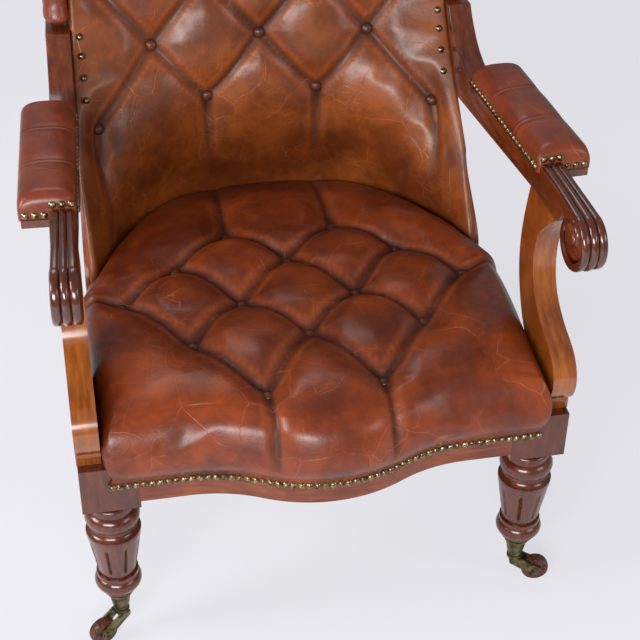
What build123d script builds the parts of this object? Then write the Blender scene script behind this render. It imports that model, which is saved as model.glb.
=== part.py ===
from build123d import *
import math
import os

os.makedirs("parts", exist_ok=True)

# A deep-buttoned leather library armchair in a mahogany show-wood frame, on turned
# front legs and brass casters. It stands on the floor and faces -Y, with +X to the
# sitter's left. Sizes are in millimetres.

# Overall stations
seat_frame_top = 322.0
block_bottom = 254.0
block_width = 72.0
block_depth = 70.0
block_outer_x = 307.0
block_front_y = -308.0
fit_gap = 0.3

# Front rail
rail_bottom = 264.0
rail_bow = 42.0
rail_bow_half_width = 175.0
rail_thickness = 44.0

# Side and back rails
side_rail_outer_x = 262.0
side_rail_thickness = 32.0
side_rail_waist_x = 256.0
side_rail_waist_y = 0.0
side_rail_bulge_x = 245.0
side_rail_bulge_y = 70.0
side_rail_end_x = 224.0
side_rail_end_thickness = 34.0
back_rail_bow = 85.0
back_rail_end_inset = 2.0
back_rail_thickness = 30.0

# Corner blocks in the front corners of the seat frame
corner_block_reach = 55.0
corner_block_bottom = 272.0
corner_block_top = 314.0

# Turned front leg, from the block down: radii and heights of each turning
neck_radius = 27.0
neck_height = 8.0
ring_radius = 31.0
ring_height = 9.0
fillet_radius = 28.0
fillet_height = 6.0
torus_radius = 35.0
torus_root_radius = 27.5
torus_height = 25.0
under_torus_height = 3.0
cove_height = 8.0
cove_bite = 2.0
shaft_top_radius = 35.0
shaft_lip_height = 4.0
shaft_height = 70.0
shaft_bottom_radius = 24.0
step_radius = 27.0
step_height = 6.0
low_torus_radius = 30.5
low_torus_root_radius = 24.0
low_torus_height = 22.0
ankle_radius = 23.0
ankle_height = 5.0
cup_top = 80.0
reed_count = 8
reed_groove_half_width = 2.6
reed_groove_depth = 3.4
reed_groove_start = 5.0
reed_groove_overrun = 3.0
reed_groove_taper = 9.0

# Rear legs: square section swept back, size and place at each height
rear_leg_x = 206.0
rear_leg_front_y = 128.0
rear_leg_size = 36.0
rear_leg_foot_size = 27.0
rear_leg_sweep = 104.0
rear_leg_ankle_radius = 17.0
rear_leg_ankle_height = 12.0
rear_leg_station_shares = (0.0, 0.24, 0.5, 0.76, 1.0)
rear_leg_sweep_shares = (0.0, 0.05, 0.27, 0.64, 1.0)

# Casters
caster_cup_top_radius = 15.5
caster_cup_bottom_radius = 9.5
caster_cup_bottom = 47.0
caster_flange_radius = 17.0
caster_flange_height = 3.0
caster_pivot_radius = 4.0
caster_pivot_depth = 18.0
caster_pivot_clearance = 0.05
caster_cup_clearance = 0.4
caster_head_radius = 10.5
caster_head_height = 4.6
caster_bridge_height = 6.0
caster_trail = 30.0
caster_cheek_thickness = 3.0
caster_boss_radius = 8.0
caster_wheel_radius = 19.0
caster_wheel_width = 13.0
caster_wheel_side_gap = 0.8
caster_wheel_groove = 1.2
caster_hub_radius = 7.0
caster_axle_radius = 3.0
caster_axle_head_radius = 4.6
caster_axle_head = 1.4
caster_axle_clearance = 0.05
caster_turn_front_right = -9.0
caster_turn_front_left = 207.0
caster_turn_rear_right = 62.0
caster_turn_rear_left = 128.0

# S-shaped arm supports
support_thickness = 30.0
support_outer_x = 308.0
support_plinth_front = -295.0
support_plinth_back = -240.0
support_plinth_top = 344.0
support_overhang = 6.0
support_front_ys = (-311.0, -313.0, -306.0, -292.0, -262.0, -232.0, -213.0, -199.0, -198.0, -208.0, -232.0)
support_front_zs = (360.0, 380.0, 396.0, 408.0, 418.0, 431.0, 446.0, 476.0, 508.0, 534.0, 560.0)
support_back_ys = (-160.0, -150.0, -145.0, -149.0, -166.0, -192.0, -222.0)
support_back_zs = (574.0, 530.0, 492.0, 446.0, 406.0, 374.0, 354.0)

# Arms: side outline in the arm's own plane, which turns in towards the back
arm_thickness = 32.0
arm_front_x = 299.0
arm_front_y = -332.0
arm_back_x = 273.4
arm_back_y = 190.0
scroll_radius = 34.0
scroll_centre_y = -299.0
scroll_centre_z = 584.0
scroll_end_angle = 70.0
scroll_eye_radius = 10.0
scroll_eye_proud = 3.0
scroll_crotch_y = -252.0
scroll_crotch_z = 578.0
scroll_throat_y = -266.0
scroll_throat_z = 584.0
pad_front_y = -186.0
pad_back_y = 72.0
pad_seat_front_z = 594.0
pad_seat_back_z = 582.0
arm_step_back_z = 595.0
arm_underside_y = 101.0
arm_underside_z = 549.0
arm_underside_front_y = -160.0
arm_underside_front_z = 574.5
sweep_top_ys = (100.0, 130.0, 158.0, 180.0)
sweep_top_zs = (598.0, 609.0, 630.0, 656.0)
sweep_low_ys = (168.0, 214.0, 234.0)
sweep_low_zs = (551.0, 588.0, 655.0)
scroll_reed_groove = 3.0
scroll_reed_groove_depth = 3.0
scroll_reed_offset = 5.6

# Boards and pads on the arms
board_inner = 16.0
board_outer = 48.0
board_thickness = 10.0
pad_inner = 18.0
pad_outer = 52.0
pad_height = 34.0
pad_edge_height = 12.0
pad_column_shares = (0.0, 0.02, 0.16, 0.36, 0.64, 0.84, 0.98, 1.0)
pad_crown_shares = (0.0, 0.42, 0.86, 1.0, 1.0, 0.86, 0.42, 0.0)
pad_row_shares = (0.0, 0.01, 0.07, 0.18, 0.30, 0.335, 0.37, 0.50, 0.63, 0.665, 0.70, 0.82, 0.93, 0.99, 1.0)
pad_rise_shares = (0.0, 0.42, 0.86, 1.0, 0.98, 0.80, 0.98, 1.0, 0.98, 0.80, 0.98, 1.0, 0.86, 0.42, 0.0)

# Upholstered back. The inside face by height: half width, place of its side edges, place
# of its middle, and how squarely it bends
inner_levels = (323.0, 400.0, 470.0, 537.0, 590.0, 640.0, 700.0, 780.0, 860.0, 935.0)
inner_half_widths = (244.0, 246.0, 249.0, 250.0, 250.0, 250.0, 250.0, 250.0, 250.0, 246.0)
inner_edge_ys = (1.0, 2.0, 55.0, 110.0, 152.0, 186.0, 206.0, 228.0, 249.0, 268.0)
inner_middle_ys = (214.0, 212.0, 194.0, 188.0, 194.0, 203.0, 218.0, 239.0, 260.0, 279.0)
inner_bends = (3.5, 3.5, 2.7, 2.1, 2.0, 2.0, 2.0, 2.0, 2.0, 2.0)
# The outside face: its plan at the foot, from the middle to the side edge, then by height
outer_foot_stations = (0.0, 0.5, 1.0, 1.5, 2.0, 2.5, 3.0, 3.5)
outer_foot_xs = (0.0, 57.0, 114.0, 170.0, 228.0, 242.0, 253.0, 262.0)
outer_foot_ys = (259.0, 255.0, 242.0, 218.0, 192.0, 144.0, 72.0, 1.0)
outer_foot_top = 372.0
outer_levels = (485.0, 537.0, 590.0, 640.0, 700.0, 780.0, 860.0, 935.0)
outer_half_widths = (257.0, 254.0, 254.0, 254.0, 254.0, 254.0, 254.0, 250.0)
outer_edge_ys = (80.0, 132.0, 190.0, 234.0, 262.0, 288.0, 309.0, 327.0)
outer_middle_ys = (272.0, 276.0, 284.0, 293.0, 307.0, 327.0, 347.0, 366.0)
outer_bends = (3.0, 2.5, 2.3, 2.2, 2.0, 2.0, 2.0, 2.0)
# Layers of the back, as shares of the way from the inside face to the outside face
cushion_share = 0.5
cushion_edge_share = 0.72
frame_share = 0.86
cover_share = 0.9
cover_edge_share = 0.76
skirt_bottom = 290.0
# Rounded top of the back: shares and heights above the top of the frame
crest_front_shares = (0.03, 0.2, 0.5, 0.8, 0.97, 1.0)
crest_front_rises = (9.0, 17.0, 21.0, 17.0, 9.0, 5.0)
crest_rear_shares = (0.55, 0.65, 0.75, 0.85, 0.95, 1.0)
crest_edge_slope_share = 0.1
crest_gap = 1.0

# Heights of the cells of the back: below the buttons, the rows of buttons, and the crest
back_base_heights = (323.0, 372.0, 430.0, 485.0)
back_button_heights = (537.0, 622.0, 707.0, 792.0, 872.0)
crest_rail_bottom = 904.0
back_pitch = 71.4
back_button_depth = 21.0
back_pleat_depth = 13.0
# The folds start at the second of these heights, and fade out at these stations across
back_fade_stations = (2, 3, 3.5)
back_fade_shares = (1, 0.8, 0)
stile_stations = (2.5, 3.0)

# Padded rolls on the sides of the back, above the arms
roll_inner_x = 254.6
roll_width = 35.0
roll_foot_rear_y = 245.0
roll_front_proud = 8.0
roll_levels = (662.0, 700.0, 780.0, 860.0, 935.0)
roll_corner = 12.0

# Seat cushion
seat_half_width = 256.0
seat_base_gap = 1.0
seat_crown = 412.0
seat_front_edge_height = 397.0
seat_side_edge_height = 393.0
seat_crease_height = 371.0
# Rings round the sides and the front, from the top edge down to the foot
seat_ring_heights = (393.0, 382.0, 366.0, 350.0, 335.0, 323.0)
seat_side_reaches = (0.0, 10.0, 16.0, 18.0, 16.0, 12.0)
seat_front_reaches = (-8.0, 10.0, 22.0, 27.0, 20.0, 6.0)
seat_ring_step = 4.0
seat_back_step = 1.0
seat_corner_pull = 1.0
seat_button_depth = 27.0
seat_pleat_depth = 15.0
seat_row_front = -280.0
seat_row_second = -171.0
seat_row_third = -97.0
seat_row_third_bend = 3.4
seat_row_fourth_share = 0.30
seat_row_fifth_share = 0.53
seat_crease_gap = 1.4
# Rows run from 0 at the front edge to the last at the crease with the back
seat_last_row = 6
seat_taper_rows = (3, 6)
seat_crown_rows = (0, 1, 5, 6)
seat_shoulder_stations = (2.5, 3.5)
seat_fade_stations = (3, 3.5)
seat_edge_pleat_share = 0.4

# Leather border nailed over the rails
border_thickness = 5.0
border_bottom = 290.0
border_front_half_width = 273.0
border_back_y = -1.0

# Buttons and nails
button_radius = 8.5
button_height = 6.0
button_rise = 1.0
tilt_step = 0.25
# How sharply a pleat falls to its fold, and the cells after which the folds repeat
pleat_sharpness = 1.5
fold_repeat = 4
nail_radius = 4.6
nail_height = 2.8
nail_shank_radius = 1.1
nail_shank_length = 9.0
nail_height_z = 295.5
nail_pitch = 9.7
nail_sink = 0.4
nail_line_steps = 60
pad_nail_pitch = 10.8
pad_nail_rise = 6.0
pad_nail_side_count = 3
back_nail_ys = (142.0, 158.0, 174.0, 191.0)
back_nail_tilt_share = 0.5
back_nail_zs = (576.0, 600.0, 624.0, 646.0)

# Seat platform: webbing under the rails, springs and the cloth over them
web_width = 50.0
web_thickness = 2.0
web_pitch_along = 78.0
web_pitch_across = 88.0
web_count_along = 5
web_count_across = 4
web_margin = 12.0
web_lap = 6.0
web_first_y = -205.0
web_front_y = -300.0
spring_radius = 36.0
spring_waist_radius = 24.0
spring_wire = 3.0
spring_pitch_x = 120.0
spring_pitch_y = 118.0
spring_first_y = -185.0
spring_count_along = 3
hessian_thickness = 0.7
hessian_outline_xs = (232.0, 232.0, 185.0, 140.0)
hessian_outline_ys = (-290.0, 70.0, 130.0, 185.0)

# Mirrored pieces are made on the right (+X) side first


def save(name, shape):
    export_step(shape, f"parts/{name}.step")


def save_pair(name, right):
    save(f"{name}_right", right)
    save(f"{name}_left", mirror(right, about=Plane.YZ))


def between(x, xs, ys):
    """Value at x on the straight runs through the points (xs, ys)."""
    if x <= xs[0]:
        return ys[0]
    for x0, x1, y0, y1 in zip(xs, xs[1:], ys, ys[1:]):
        if x <= x1:
            return y0 + (y1 - y0) * (x - x0) / (x1 - x0)
    return ys[-1]


def triangle(a, b, c):
    return Face(Wire.make_polygon([a, b, c], close=True))


def closed_solid(faces):
    solid = Solid(Shell(faces))
    return solid if solid.volume > 0 else Solid(Shell([-face for face in faces]))


def sheet_faces(grid, folds=None):
    """Triangles over a grid of points; folds says which diagonal a cell is split on."""
    faces = []
    for j in range(len(grid) - 1):
        for i in range(len(grid[0]) - 1):
            a, b = grid[j][i], grid[j][i + 1]
            c, d = grid[j + 1][i + 1], grid[j + 1][i]
            if folds and folds(i, j):
                faces += [triangle(a, b, d), triangle(b, c, d)]
            else:
                faces += [triangle(a, b, c), triangle(a, c, d)]
    return faces


def rim(grid):
    """Points round the edge of a grid, in order."""
    last = len(grid[0]) - 1
    around = list(grid[0])
    around += [row[last] for row in grid[1:]]
    around += list(reversed(grid[-1]))[1:]
    around += [row[0] for row in reversed(grid[1:-1])]
    return around


def slab(front, back, folds=None):
    """Closed solid between two grids of points of the same size."""
    faces = sheet_faces(front, folds)
    faces += [-face for face in sheet_faces(back, folds)]
    near, far = rim(front), rim(back)
    for k in range(len(near)):
        n = (k + 1) % len(near)
        faces += [triangle(near[k], far[k], far[n]), triangle(near[k], far[n], near[n])]
    return closed_solid(faces)


def capped(grid, folds=None):
    """Closed solid between a grid whose rim is flat and the plane of that rim."""
    cap = Face(Wire.make_polygon(list(reversed(rim(grid))), close=True))
    return closed_solid(sheet_faces(grid, folds) + [cap])


def prism(face, bottom, top):
    return Pos(0, 0, bottom) * extrude(face, top - bottom)


def side_outline(edges):
    """Face in the plane X = 0 from edges drawn with (y, z)."""
    return Plane.YZ * make_face(edges)


# Tufting: buttons stand at whole stations (u across, v along) whose sum is even.
# A fold runs from each button to its diagonal neighbours, and straight out to the edge.


def tuft_folds(buttons, straight):
    folds = list(straight)
    for u, v in buttons:
        folds += [((u, v), (u + s, v + 1)) for s in (-1, 1) if (u + s, v + 1) in buttons]
    return folds


def distance_to(u, v, fold):
    (u0, v0), (u1, v1) = fold
    du, dv = u1 - u0, v1 - v0
    t = max(0, min(1, ((u - u0) * du + (v - v0) * dv) / (du * du + dv * dv)))
    return math.hypot(u - u0 - t * du, v - v0 - t * dv)


def tuft_drop(u, v, buttons, folds, button_depth, pleat_depth):
    """How far the leather is drawn in at a station."""
    fold_share = max(0, 1 - min(distance_to(u, v, f) for f in folds) / math.sqrt(0.5))
    near = min(math.hypot(u - p, v - q) for p, q in buttons)
    button_share = max(0, 1 - 2 * near)
    return pleat_depth * fold_share**pleat_sharpness + (button_depth - pleat_depth) * button_share


def fold_side(i, j):
    """Which diagonal a cell is split on, in half steps from the corner of the grid."""
    return (i + j) % fold_repeat == 2 or (i - j) % fold_repeat == 1


# Plan of the front rail: a serpentine of four equal arcs between the blocks


def serpentine_y(x, offset=0.0):
    """Front face of the rail at x, moved back by offset."""
    rise, run = rail_bow / 2, rail_bow_half_width / 2
    radius = (run * run + rise * rise) / (2 * rise)
    away = abs(x)
    if away >= rail_bow_half_width:
        depth = 0.0
    elif away >= run:
        depth = radius - math.sqrt(radius**2 - (rail_bow_half_width - away) ** 2)
    else:
        depth = rail_bow - radius + math.sqrt(radius**2 - away**2)
    return block_front_y - depth + offset


def serpentine_edges(half_width, offset):
    """Four arcs from left to right along the front, with straight ends."""

    def point(x):
        return (x, serpentine_y(x, offset))

    run = rail_bow_half_width / 2
    marks = [-2 * run, -run, 0.0, run, 2 * run]
    edges = [Line(point(-half_width), point(marks[0]))]
    for a, b in zip(marks, marks[1:]):
        edges.append(ThreePointArc(point(a), point((a + b) / 2), point(b)))
    edges.append(Line(point(marks[-1]), point(half_width)))
    return edges


block_inner_x = block_outer_x - block_width
block_back_y = block_front_y + block_depth
block_centre_x = block_outer_x - block_width / 2
block_centre_y = block_front_y + block_depth / 2


def front_rail():
    inner_y = block_front_y + rail_thickness
    ends = [
        Line((block_inner_x, block_front_y), (block_inner_x, inner_y)),
        Line((block_inner_x, inner_y), (-block_inner_x, inner_y)),
        Line((-block_inner_x, inner_y), (-block_inner_x, block_front_y)),
    ]
    return prism(make_face(serpentine_edges(block_inner_x, 0.0) + ends), rail_bottom, seat_frame_top)


def side_rail():
    end_inner_x = side_rail_end_x - side_rail_end_thickness
    outer = (side_rail_outer_x, block_back_y)
    waist = (side_rail_waist_x, side_rail_waist_y)
    end = (side_rail_end_x, rear_leg_front_y)
    inner_end = (end_inner_x, rear_leg_front_y)
    inner_waist = (side_rail_waist_x - side_rail_thickness, side_rail_waist_y)
    inner = (side_rail_outer_x - side_rail_thickness, block_back_y)
    outline = [
        Line(outer, waist),
        ThreePointArc(waist, (side_rail_bulge_x, side_rail_bulge_y), end),
        Line(end, inner_end),
        ThreePointArc(inner_end, (side_rail_bulge_x - side_rail_thickness, side_rail_bulge_y), inner_waist),
        Line(inner_waist, inner),
        Line(inner, outer),
    ]
    return prism(make_face(outline), rail_bottom, seat_frame_top)


rear_leg_inner_x = rear_leg_x - rear_leg_size / 2


back_rail_end_y = rear_leg_front_y + back_rail_end_inset + (rear_leg_size - back_rail_thickness) / 2


def back_rail_y(x):
    """Near face of the back rail, an arc between the rear legs."""
    radius = (rear_leg_inner_x**2 + back_rail_bow**2) / (2 * back_rail_bow)
    return back_rail_end_y + back_rail_bow - radius + math.sqrt(radius**2 - x**2)


def back_rail():
    near_y = back_rail_end_y
    far_y = near_y + back_rail_thickness
    x = rear_leg_inner_x
    outline = [
        Line((x, near_y), (x, far_y)),
        ThreePointArc((x, far_y), (0, far_y + back_rail_bow), (-x, far_y)),
        Line((-x, far_y), (-x, near_y)),
        ThreePointArc((-x, near_y), (0, near_y + back_rail_bow), (x, near_y)),
    ]
    return prism(make_face(outline), rail_bottom, seat_frame_top)


def side_rail_outer(y):
    """Outer face of a side rail, from the leg block to its end."""
    ys = (block_back_y, side_rail_waist_y, side_rail_bulge_y, rear_leg_front_y)
    xs = (side_rail_outer_x, side_rail_waist_x, side_rail_bulge_x, side_rail_end_x)
    return between(y, ys, xs)


def corner_blocks():
    rail_inner_y = block_front_y + rail_thickness
    reach_y = block_back_y + corner_block_reach / 2
    points = [
        (block_inner_x, rail_inner_y),
        (block_inner_x - corner_block_reach, rail_inner_y),
        (side_rail_outer(reach_y) - side_rail_thickness, reach_y),
        (side_rail_outer(block_back_y) - side_rail_thickness, block_back_y),
        (block_inner_x, block_back_y),
    ]
    right = prism(make_face(Polyline(*points, close=True)), corner_block_bottom, corner_block_top)
    return Compound([right, mirror(right, about=Plane.YZ)])


# Legs


def bead(z_top, z_bottom, root, out):
    """Half-round turning between two heights, as an edge from top to bottom."""
    return ThreePointArc((root, z_top), (out, (z_top + z_bottom) / 2), (root, z_bottom))


def front_leg():
    z = block_bottom
    edges = [Line((0, z), (neck_radius, z))]

    def step(radius, height):
        """Straight turning of this radius; the outline moves in or out to it first."""
        nonlocal z
        last = edges[-1] @ 1
        if abs(last.X - radius) > 0:
            edges.append(Line((last.X, z), (radius, z)))
        edges.append(Line((radius, z), (radius, z - height)))
        z -= height

    def round_step(root, out, height):
        nonlocal z
        last = edges[-1] @ 1
        if abs(last.X - root) > 0:
            edges.append(Line((last.X, z), (root, z)))
        edges.append(bead(z, z - height, root, out))
        z -= height

    step(neck_radius, neck_height)
    round_step(neck_radius, ring_radius, ring_height)
    step(fillet_radius, fillet_height)
    round_step(torus_root_radius, torus_radius, torus_height)
    step(torus_root_radius, under_torus_height)
    cove_middle = (torus_root_radius + shaft_top_radius) / 2 - cove_bite
    edges.append(
        ThreePointArc(
            (torus_root_radius, z), (cove_middle, z - cove_height / 2), (shaft_top_radius, z - cove_height)
        )
    )
    z -= cove_height
    step(shaft_top_radius, shaft_lip_height)
    shaft_top = z
    edges.append(Line((shaft_top_radius, z), (shaft_bottom_radius, z - shaft_height)))
    z -= shaft_height
    shaft_bottom = z
    step(step_radius, step_height)
    round_step(low_torus_root_radius, low_torus_radius, low_torus_height)
    step(ankle_radius, ankle_height)
    last = edges[-1] @ 1
    edges.append(Line((last.X, z), (caster_cup_top_radius, cup_top)))
    edges.append(Line((caster_cup_top_radius, cup_top), (0, cup_top)))
    edges.append(Line((0, cup_top), (0, block_bottom)))
    turned = revolve(Plane.XZ * make_face(edges), Axis.Z)
    for k in range(reed_count):
        angle = 360 / reed_count * (k + 0.5)
        turned -= Rot(0, 0, angle) * reed_groove(shaft_top, shaft_bottom)
    block = Pos(0, 0, (block_bottom + seat_frame_top) / 2) * Box(
        block_width, block_depth, seat_frame_top - block_bottom
    )
    return Pos(block_centre_x, block_centre_y, 0) * (block + turned)


def reed_groove(shaft_top, shaft_bottom):
    """V-shaped cutter down the side of the tapered shaft, pointed at both ends."""
    taper = (shaft_top_radius - shaft_bottom_radius) / (shaft_top - shaft_bottom)

    def surface(z, out):
        return shaft_top_radius - taper * (shaft_top - z) + out

    high, low = shaft_top - reed_groove_start, shaft_bottom + reed_groove_start
    rings = []
    for z in (high - reed_groove_taper, low + reed_groove_taper):
        width = reed_groove_half_width * (1 + reed_groove_overrun / reed_groove_depth)
        out = surface(z, reed_groove_overrun)
        rings.append(
            (Vector(out, -width, z), Vector(out, width, z), Vector(surface(z, -reed_groove_depth), 0, z))
        )
    tip_high = Vector(surface(high, reed_groove_overrun), 0, high)
    tip_low = Vector(surface(low, reed_groove_overrun), 0, low)
    upper, lower = rings
    faces = []
    for k in range(3):
        n = (k + 1) % 3
        faces += [
            triangle(upper[k], upper[n], lower[n]),
            triangle(upper[k], lower[n], lower[k]),
            triangle(upper[k], tip_high, upper[n]),
            triangle(lower[k], lower[n], tip_low),
        ]
    return closed_solid(faces)


def rear_leg():
    """Square leg that sweeps back to its caster, with a short turned ankle."""
    ankle_top = cup_top + rear_leg_ankle_height
    sections = []
    straight_bottom = rail_bottom
    middle_y = rear_leg_front_y + rear_leg_size / 2
    for share, sweep in zip(rear_leg_station_shares, rear_leg_sweep_shares):
        z = straight_bottom - (straight_bottom - ankle_top) * share
        size = rear_leg_size - (rear_leg_size - rear_leg_foot_size) * share
        y = middle_y + rear_leg_sweep * sweep
        sections.append(Pos(rear_leg_x, y, z) * Rectangle(size, size))
    swept = loft(sections, ruled=True)
    head = Pos(rear_leg_x, middle_y, (seat_frame_top + straight_bottom) / 2) * Box(
        rear_leg_size, rear_leg_size, seat_frame_top - straight_bottom
    )
    foot_y = middle_y + rear_leg_sweep
    ankle = Pos(rear_leg_x, foot_y, cup_top + rear_leg_ankle_height / 2) * Cone(
        caster_cup_top_radius, min(rear_leg_ankle_radius, rear_leg_foot_size / 2), rear_leg_ankle_height
    )
    return head + swept + ankle


# Casters. Each is made about its own swivel axis, trailing along +X, then placed.


def caster_cup():
    body = Pos(0, 0, (caster_cup_bottom + cup_top) / 2) * Cone(
        caster_cup_bottom_radius, caster_cup_top_radius, cup_top - caster_cup_bottom
    )
    flange_z = cup_top - caster_flange_height / 2
    flange = Pos(0, 0, flange_z) * Cylinder(caster_flange_radius, caster_flange_height)
    hole_radius = caster_pivot_radius + caster_pivot_clearance
    hole = Pos(0, 0, caster_cup_bottom + caster_pivot_depth / 2) * Cylinder(hole_radius, caster_pivot_depth)
    return body + flange - hole


caster_head_top = caster_cup_bottom - caster_cup_clearance
caster_head_bottom = caster_head_top - caster_head_height
fork_inner = caster_wheel_width / 2 + caster_wheel_side_gap
fork_outer = fork_inner + caster_cheek_thickness


def caster_horn():
    head_z = (caster_head_top + caster_head_bottom) / 2
    head = Pos(0, 0, head_z) * Cylinder(caster_head_radius, caster_head_height)
    pivot_height = caster_head_top - caster_head_bottom + caster_pivot_depth - 2 * caster_cup_clearance
    pivot = Pos(0, 0, caster_head_bottom + pivot_height / 2) * Cylinder(caster_pivot_radius, pivot_height)
    bridge = Pos(0, 0, caster_head_bottom - caster_bridge_height / 2) * Box(
        2 * caster_head_radius * math.sqrt(0.5), 2 * fork_outer, caster_bridge_height
    )
    shoulder = caster_head_radius * math.sqrt(0.5)
    cheek_top = caster_head_bottom
    cheek_edges = [
        CenterArc((caster_trail, caster_wheel_radius), caster_boss_radius, 0, 360),
        Line((-shoulder, cheek_top), (shoulder, cheek_top)),
        Line((-shoulder, cheek_top - caster_bridge_height), (shoulder, cheek_top - caster_bridge_height)),
    ]
    cheek_outline = make_hull(cheek_edges)
    cheek = extrude(Plane.XZ * cheek_outline, caster_cheek_thickness)
    near = Pos(0, -fork_inner, 0) * cheek
    far = Pos(0, fork_outer, 0) * cheek
    axle_hole = Pos(caster_trail, 0, caster_wheel_radius) * Rot(90, 0, 0) * Cylinder(
        caster_axle_radius, 4 * fork_outer
    )
    return head + pivot + bridge + near + far - axle_hole


def caster_axle():
    length = 2 * fork_outer
    pin = Cylinder(caster_axle_radius, length)
    head = Pos(0, 0, (length + caster_axle_head) / 2) * Cylinder(caster_axle_head_radius, caster_axle_head)
    tail = Pos(0, 0, -(length + caster_axle_head) / 2) * Cylinder(caster_axle_head_radius, caster_axle_head)
    return Pos(caster_trail, 0, caster_wheel_radius) * Rot(90, 0, 0) * (pin + head + tail)


def caster_wheel():
    half = caster_wheel_width / 2
    rim_radius = caster_wheel_radius
    bore = caster_axle_radius + caster_axle_clearance
    crown = rim_radius - caster_wheel_groove
    hub = caster_hub_radius
    hub_half = half + caster_wheel_side_gap / 2
    edges = [
        Line((bore, -hub_half), (hub, -hub_half)),
        Line((hub, -hub_half), (hub, -half)),
        Line((hub, -half), (crown, -half)),
        ThreePointArc((crown, -half), (rim_radius, 0), (crown, half)),
        Line((crown, half), (hub, half)),
        Line((hub, half), (hub, hub_half)),
        Line((hub, hub_half), (bore, hub_half)),
        Line((bore, hub_half), (bore, -hub_half)),
    ]
    wheel = revolve(Plane.XZ * make_face(edges), Axis.Z)
    return Pos(caster_trail, 0, caster_wheel_radius) * Rot(90, 0, 0) * wheel


# Arms


def arm_support():
    """S-shaped upright standing on the outer half of the leg block."""
    front = list(zip(support_front_ys, support_front_zs))
    back = list(zip(support_back_ys, support_back_zs))
    over = support_plinth_front - support_overhang
    outline = [
        Line((support_plinth_back, seat_frame_top), (support_plinth_front, seat_frame_top)),
        Line((support_plinth_front, seat_frame_top), (support_plinth_front, support_plinth_top)),
        Line((support_plinth_front, support_plinth_top), (over, support_plinth_top)),
        Spline((over, support_plinth_top), *front, (scroll_crotch_y, scroll_crotch_z)),
        Line((scroll_crotch_y, scroll_crotch_z), back[0]),
        Spline(*back, (support_plinth_back, support_plinth_top)),
        Line((support_plinth_back, support_plinth_top), (support_plinth_back, seat_frame_top)),
    ]
    upright = extrude(side_outline(outline), support_thickness)
    upright = Pos(support_outer_x - support_thickness, 0, 0) * upright
    return upright - arm_blank()


def arm_edges():
    """Side outline of the scroll, rail and back sweep, with (y, z)."""
    cy, cz, r = scroll_centre_y, scroll_centre_z, scroll_radius
    pad_front_low = (pad_front_y, pad_seat_front_z)
    pad_back_low = (pad_back_y, pad_seat_back_z)
    sweep_top = list(zip(sweep_top_ys, sweep_top_zs))
    sweep_low = list(zip(sweep_low_ys, sweep_low_zs))

    def under(angle):
        turn = math.radians(angle)
        return (cy + r * math.sin(turn), cz - r * math.cos(turn))

    scroll_back = under(scroll_end_angle)
    return [
        Line((pad_front_y, cz + r), (cy, cz + r)),
        ThreePointArc((cy, cz + r), (cy - r, cz), (cy, cz - r)),
        ThreePointArc((cy, cz - r), under(scroll_end_angle / 2), scroll_back),
        Line(scroll_back, (scroll_throat_y, scroll_throat_z)),
        Line((scroll_throat_y, scroll_throat_z), (scroll_crotch_y, scroll_crotch_z)),
        Line((scroll_crotch_y, scroll_crotch_z), (arm_underside_front_y, arm_underside_front_z)),
        Line((arm_underside_front_y, arm_underside_front_z), (arm_underside_y, arm_underside_z)),
        Spline((arm_underside_y, arm_underside_z), *sweep_low),
        Line(sweep_low[-1], sweep_top[-1]),
        Spline(*reversed(sweep_top), (pad_back_y, arm_step_back_z)),
        Line((pad_back_y, arm_step_back_z), pad_back_low),
        Line(pad_back_low, pad_front_low),
        Line(pad_front_low, (pad_front_y, cz + r)),
    ]


arm_turn = math.degrees(math.atan2(arm_front_x - arm_back_x, arm_back_y - arm_front_y))


def in_arm_plane(shape):
    """Places what is drawn about X = 0 in the arm's plane."""
    return Pos(arm_front_x, arm_front_y, 0) * Rot(0, 0, arm_turn) * Pos(0, -arm_front_y, 0) * shape


def arm_point(across, y, z):
    """Point of the arm's plane, with across measured outwards from its middle."""
    turn = math.radians(arm_turn)
    along = y - arm_front_y
    return Vector(
        arm_front_x + across * math.cos(turn) - along * math.sin(turn),
        arm_front_y + across * math.sin(turn) + along * math.cos(turn),
        z,
    )


def arm_blank():
    return in_arm_plane(Pos(-arm_thickness / 2, 0, 0) * extrude(side_outline(arm_edges()), arm_thickness))


def arm():
    """Scroll with three reeds over its front, rail under the pad, and sweep to the back."""
    outline = make_face(arm_edges())
    ring = outline - offset(outline, -scroll_reed_groove_depth)
    window = Pos((pad_front_y + arm_front_y) / 2 - scroll_radius, scroll_centre_z) * Rectangle(
        pad_front_y - arm_front_y + scroll_radius, 4 * scroll_radius
    )
    reed_ring = ring & window
    shape = arm_blank()
    for side in (-1, 1):
        start = side * scroll_reed_offset - scroll_reed_groove / 2
        cutter = extrude(Plane.YZ * reed_ring, scroll_reed_groove)
        shape -= in_arm_plane(Pos(start, 0, 0) * cutter)
    eye = Pos(arm_thickness / 2, scroll_centre_y, scroll_centre_z) * Rot(0, 90, 0) * Cone(
        scroll_eye_radius, scroll_eye_radius / 2, 2 * scroll_eye_proud
    )
    return shape + in_arm_plane(eye)


def pad_seat_z(y):
    """Top of the arm rail under the board."""
    return between(y, (pad_front_y, pad_back_y), (pad_seat_front_z, pad_seat_back_z))


def arm_board():
    low = pad_seat_z
    grid_low, grid_high = [], []
    for y in (pad_front_y + fit_gap, pad_back_y - fit_gap):
        grid_low.append([arm_point(-board_inner, y, low(y)), arm_point(board_outer, y, low(y))])
        grid_high.append(
            [
                arm_point(-board_inner, y, low(y) + board_thickness),
                arm_point(board_outer, y, low(y) + board_thickness),
            ]
        )
    return slab(grid_low, grid_high)


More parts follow.
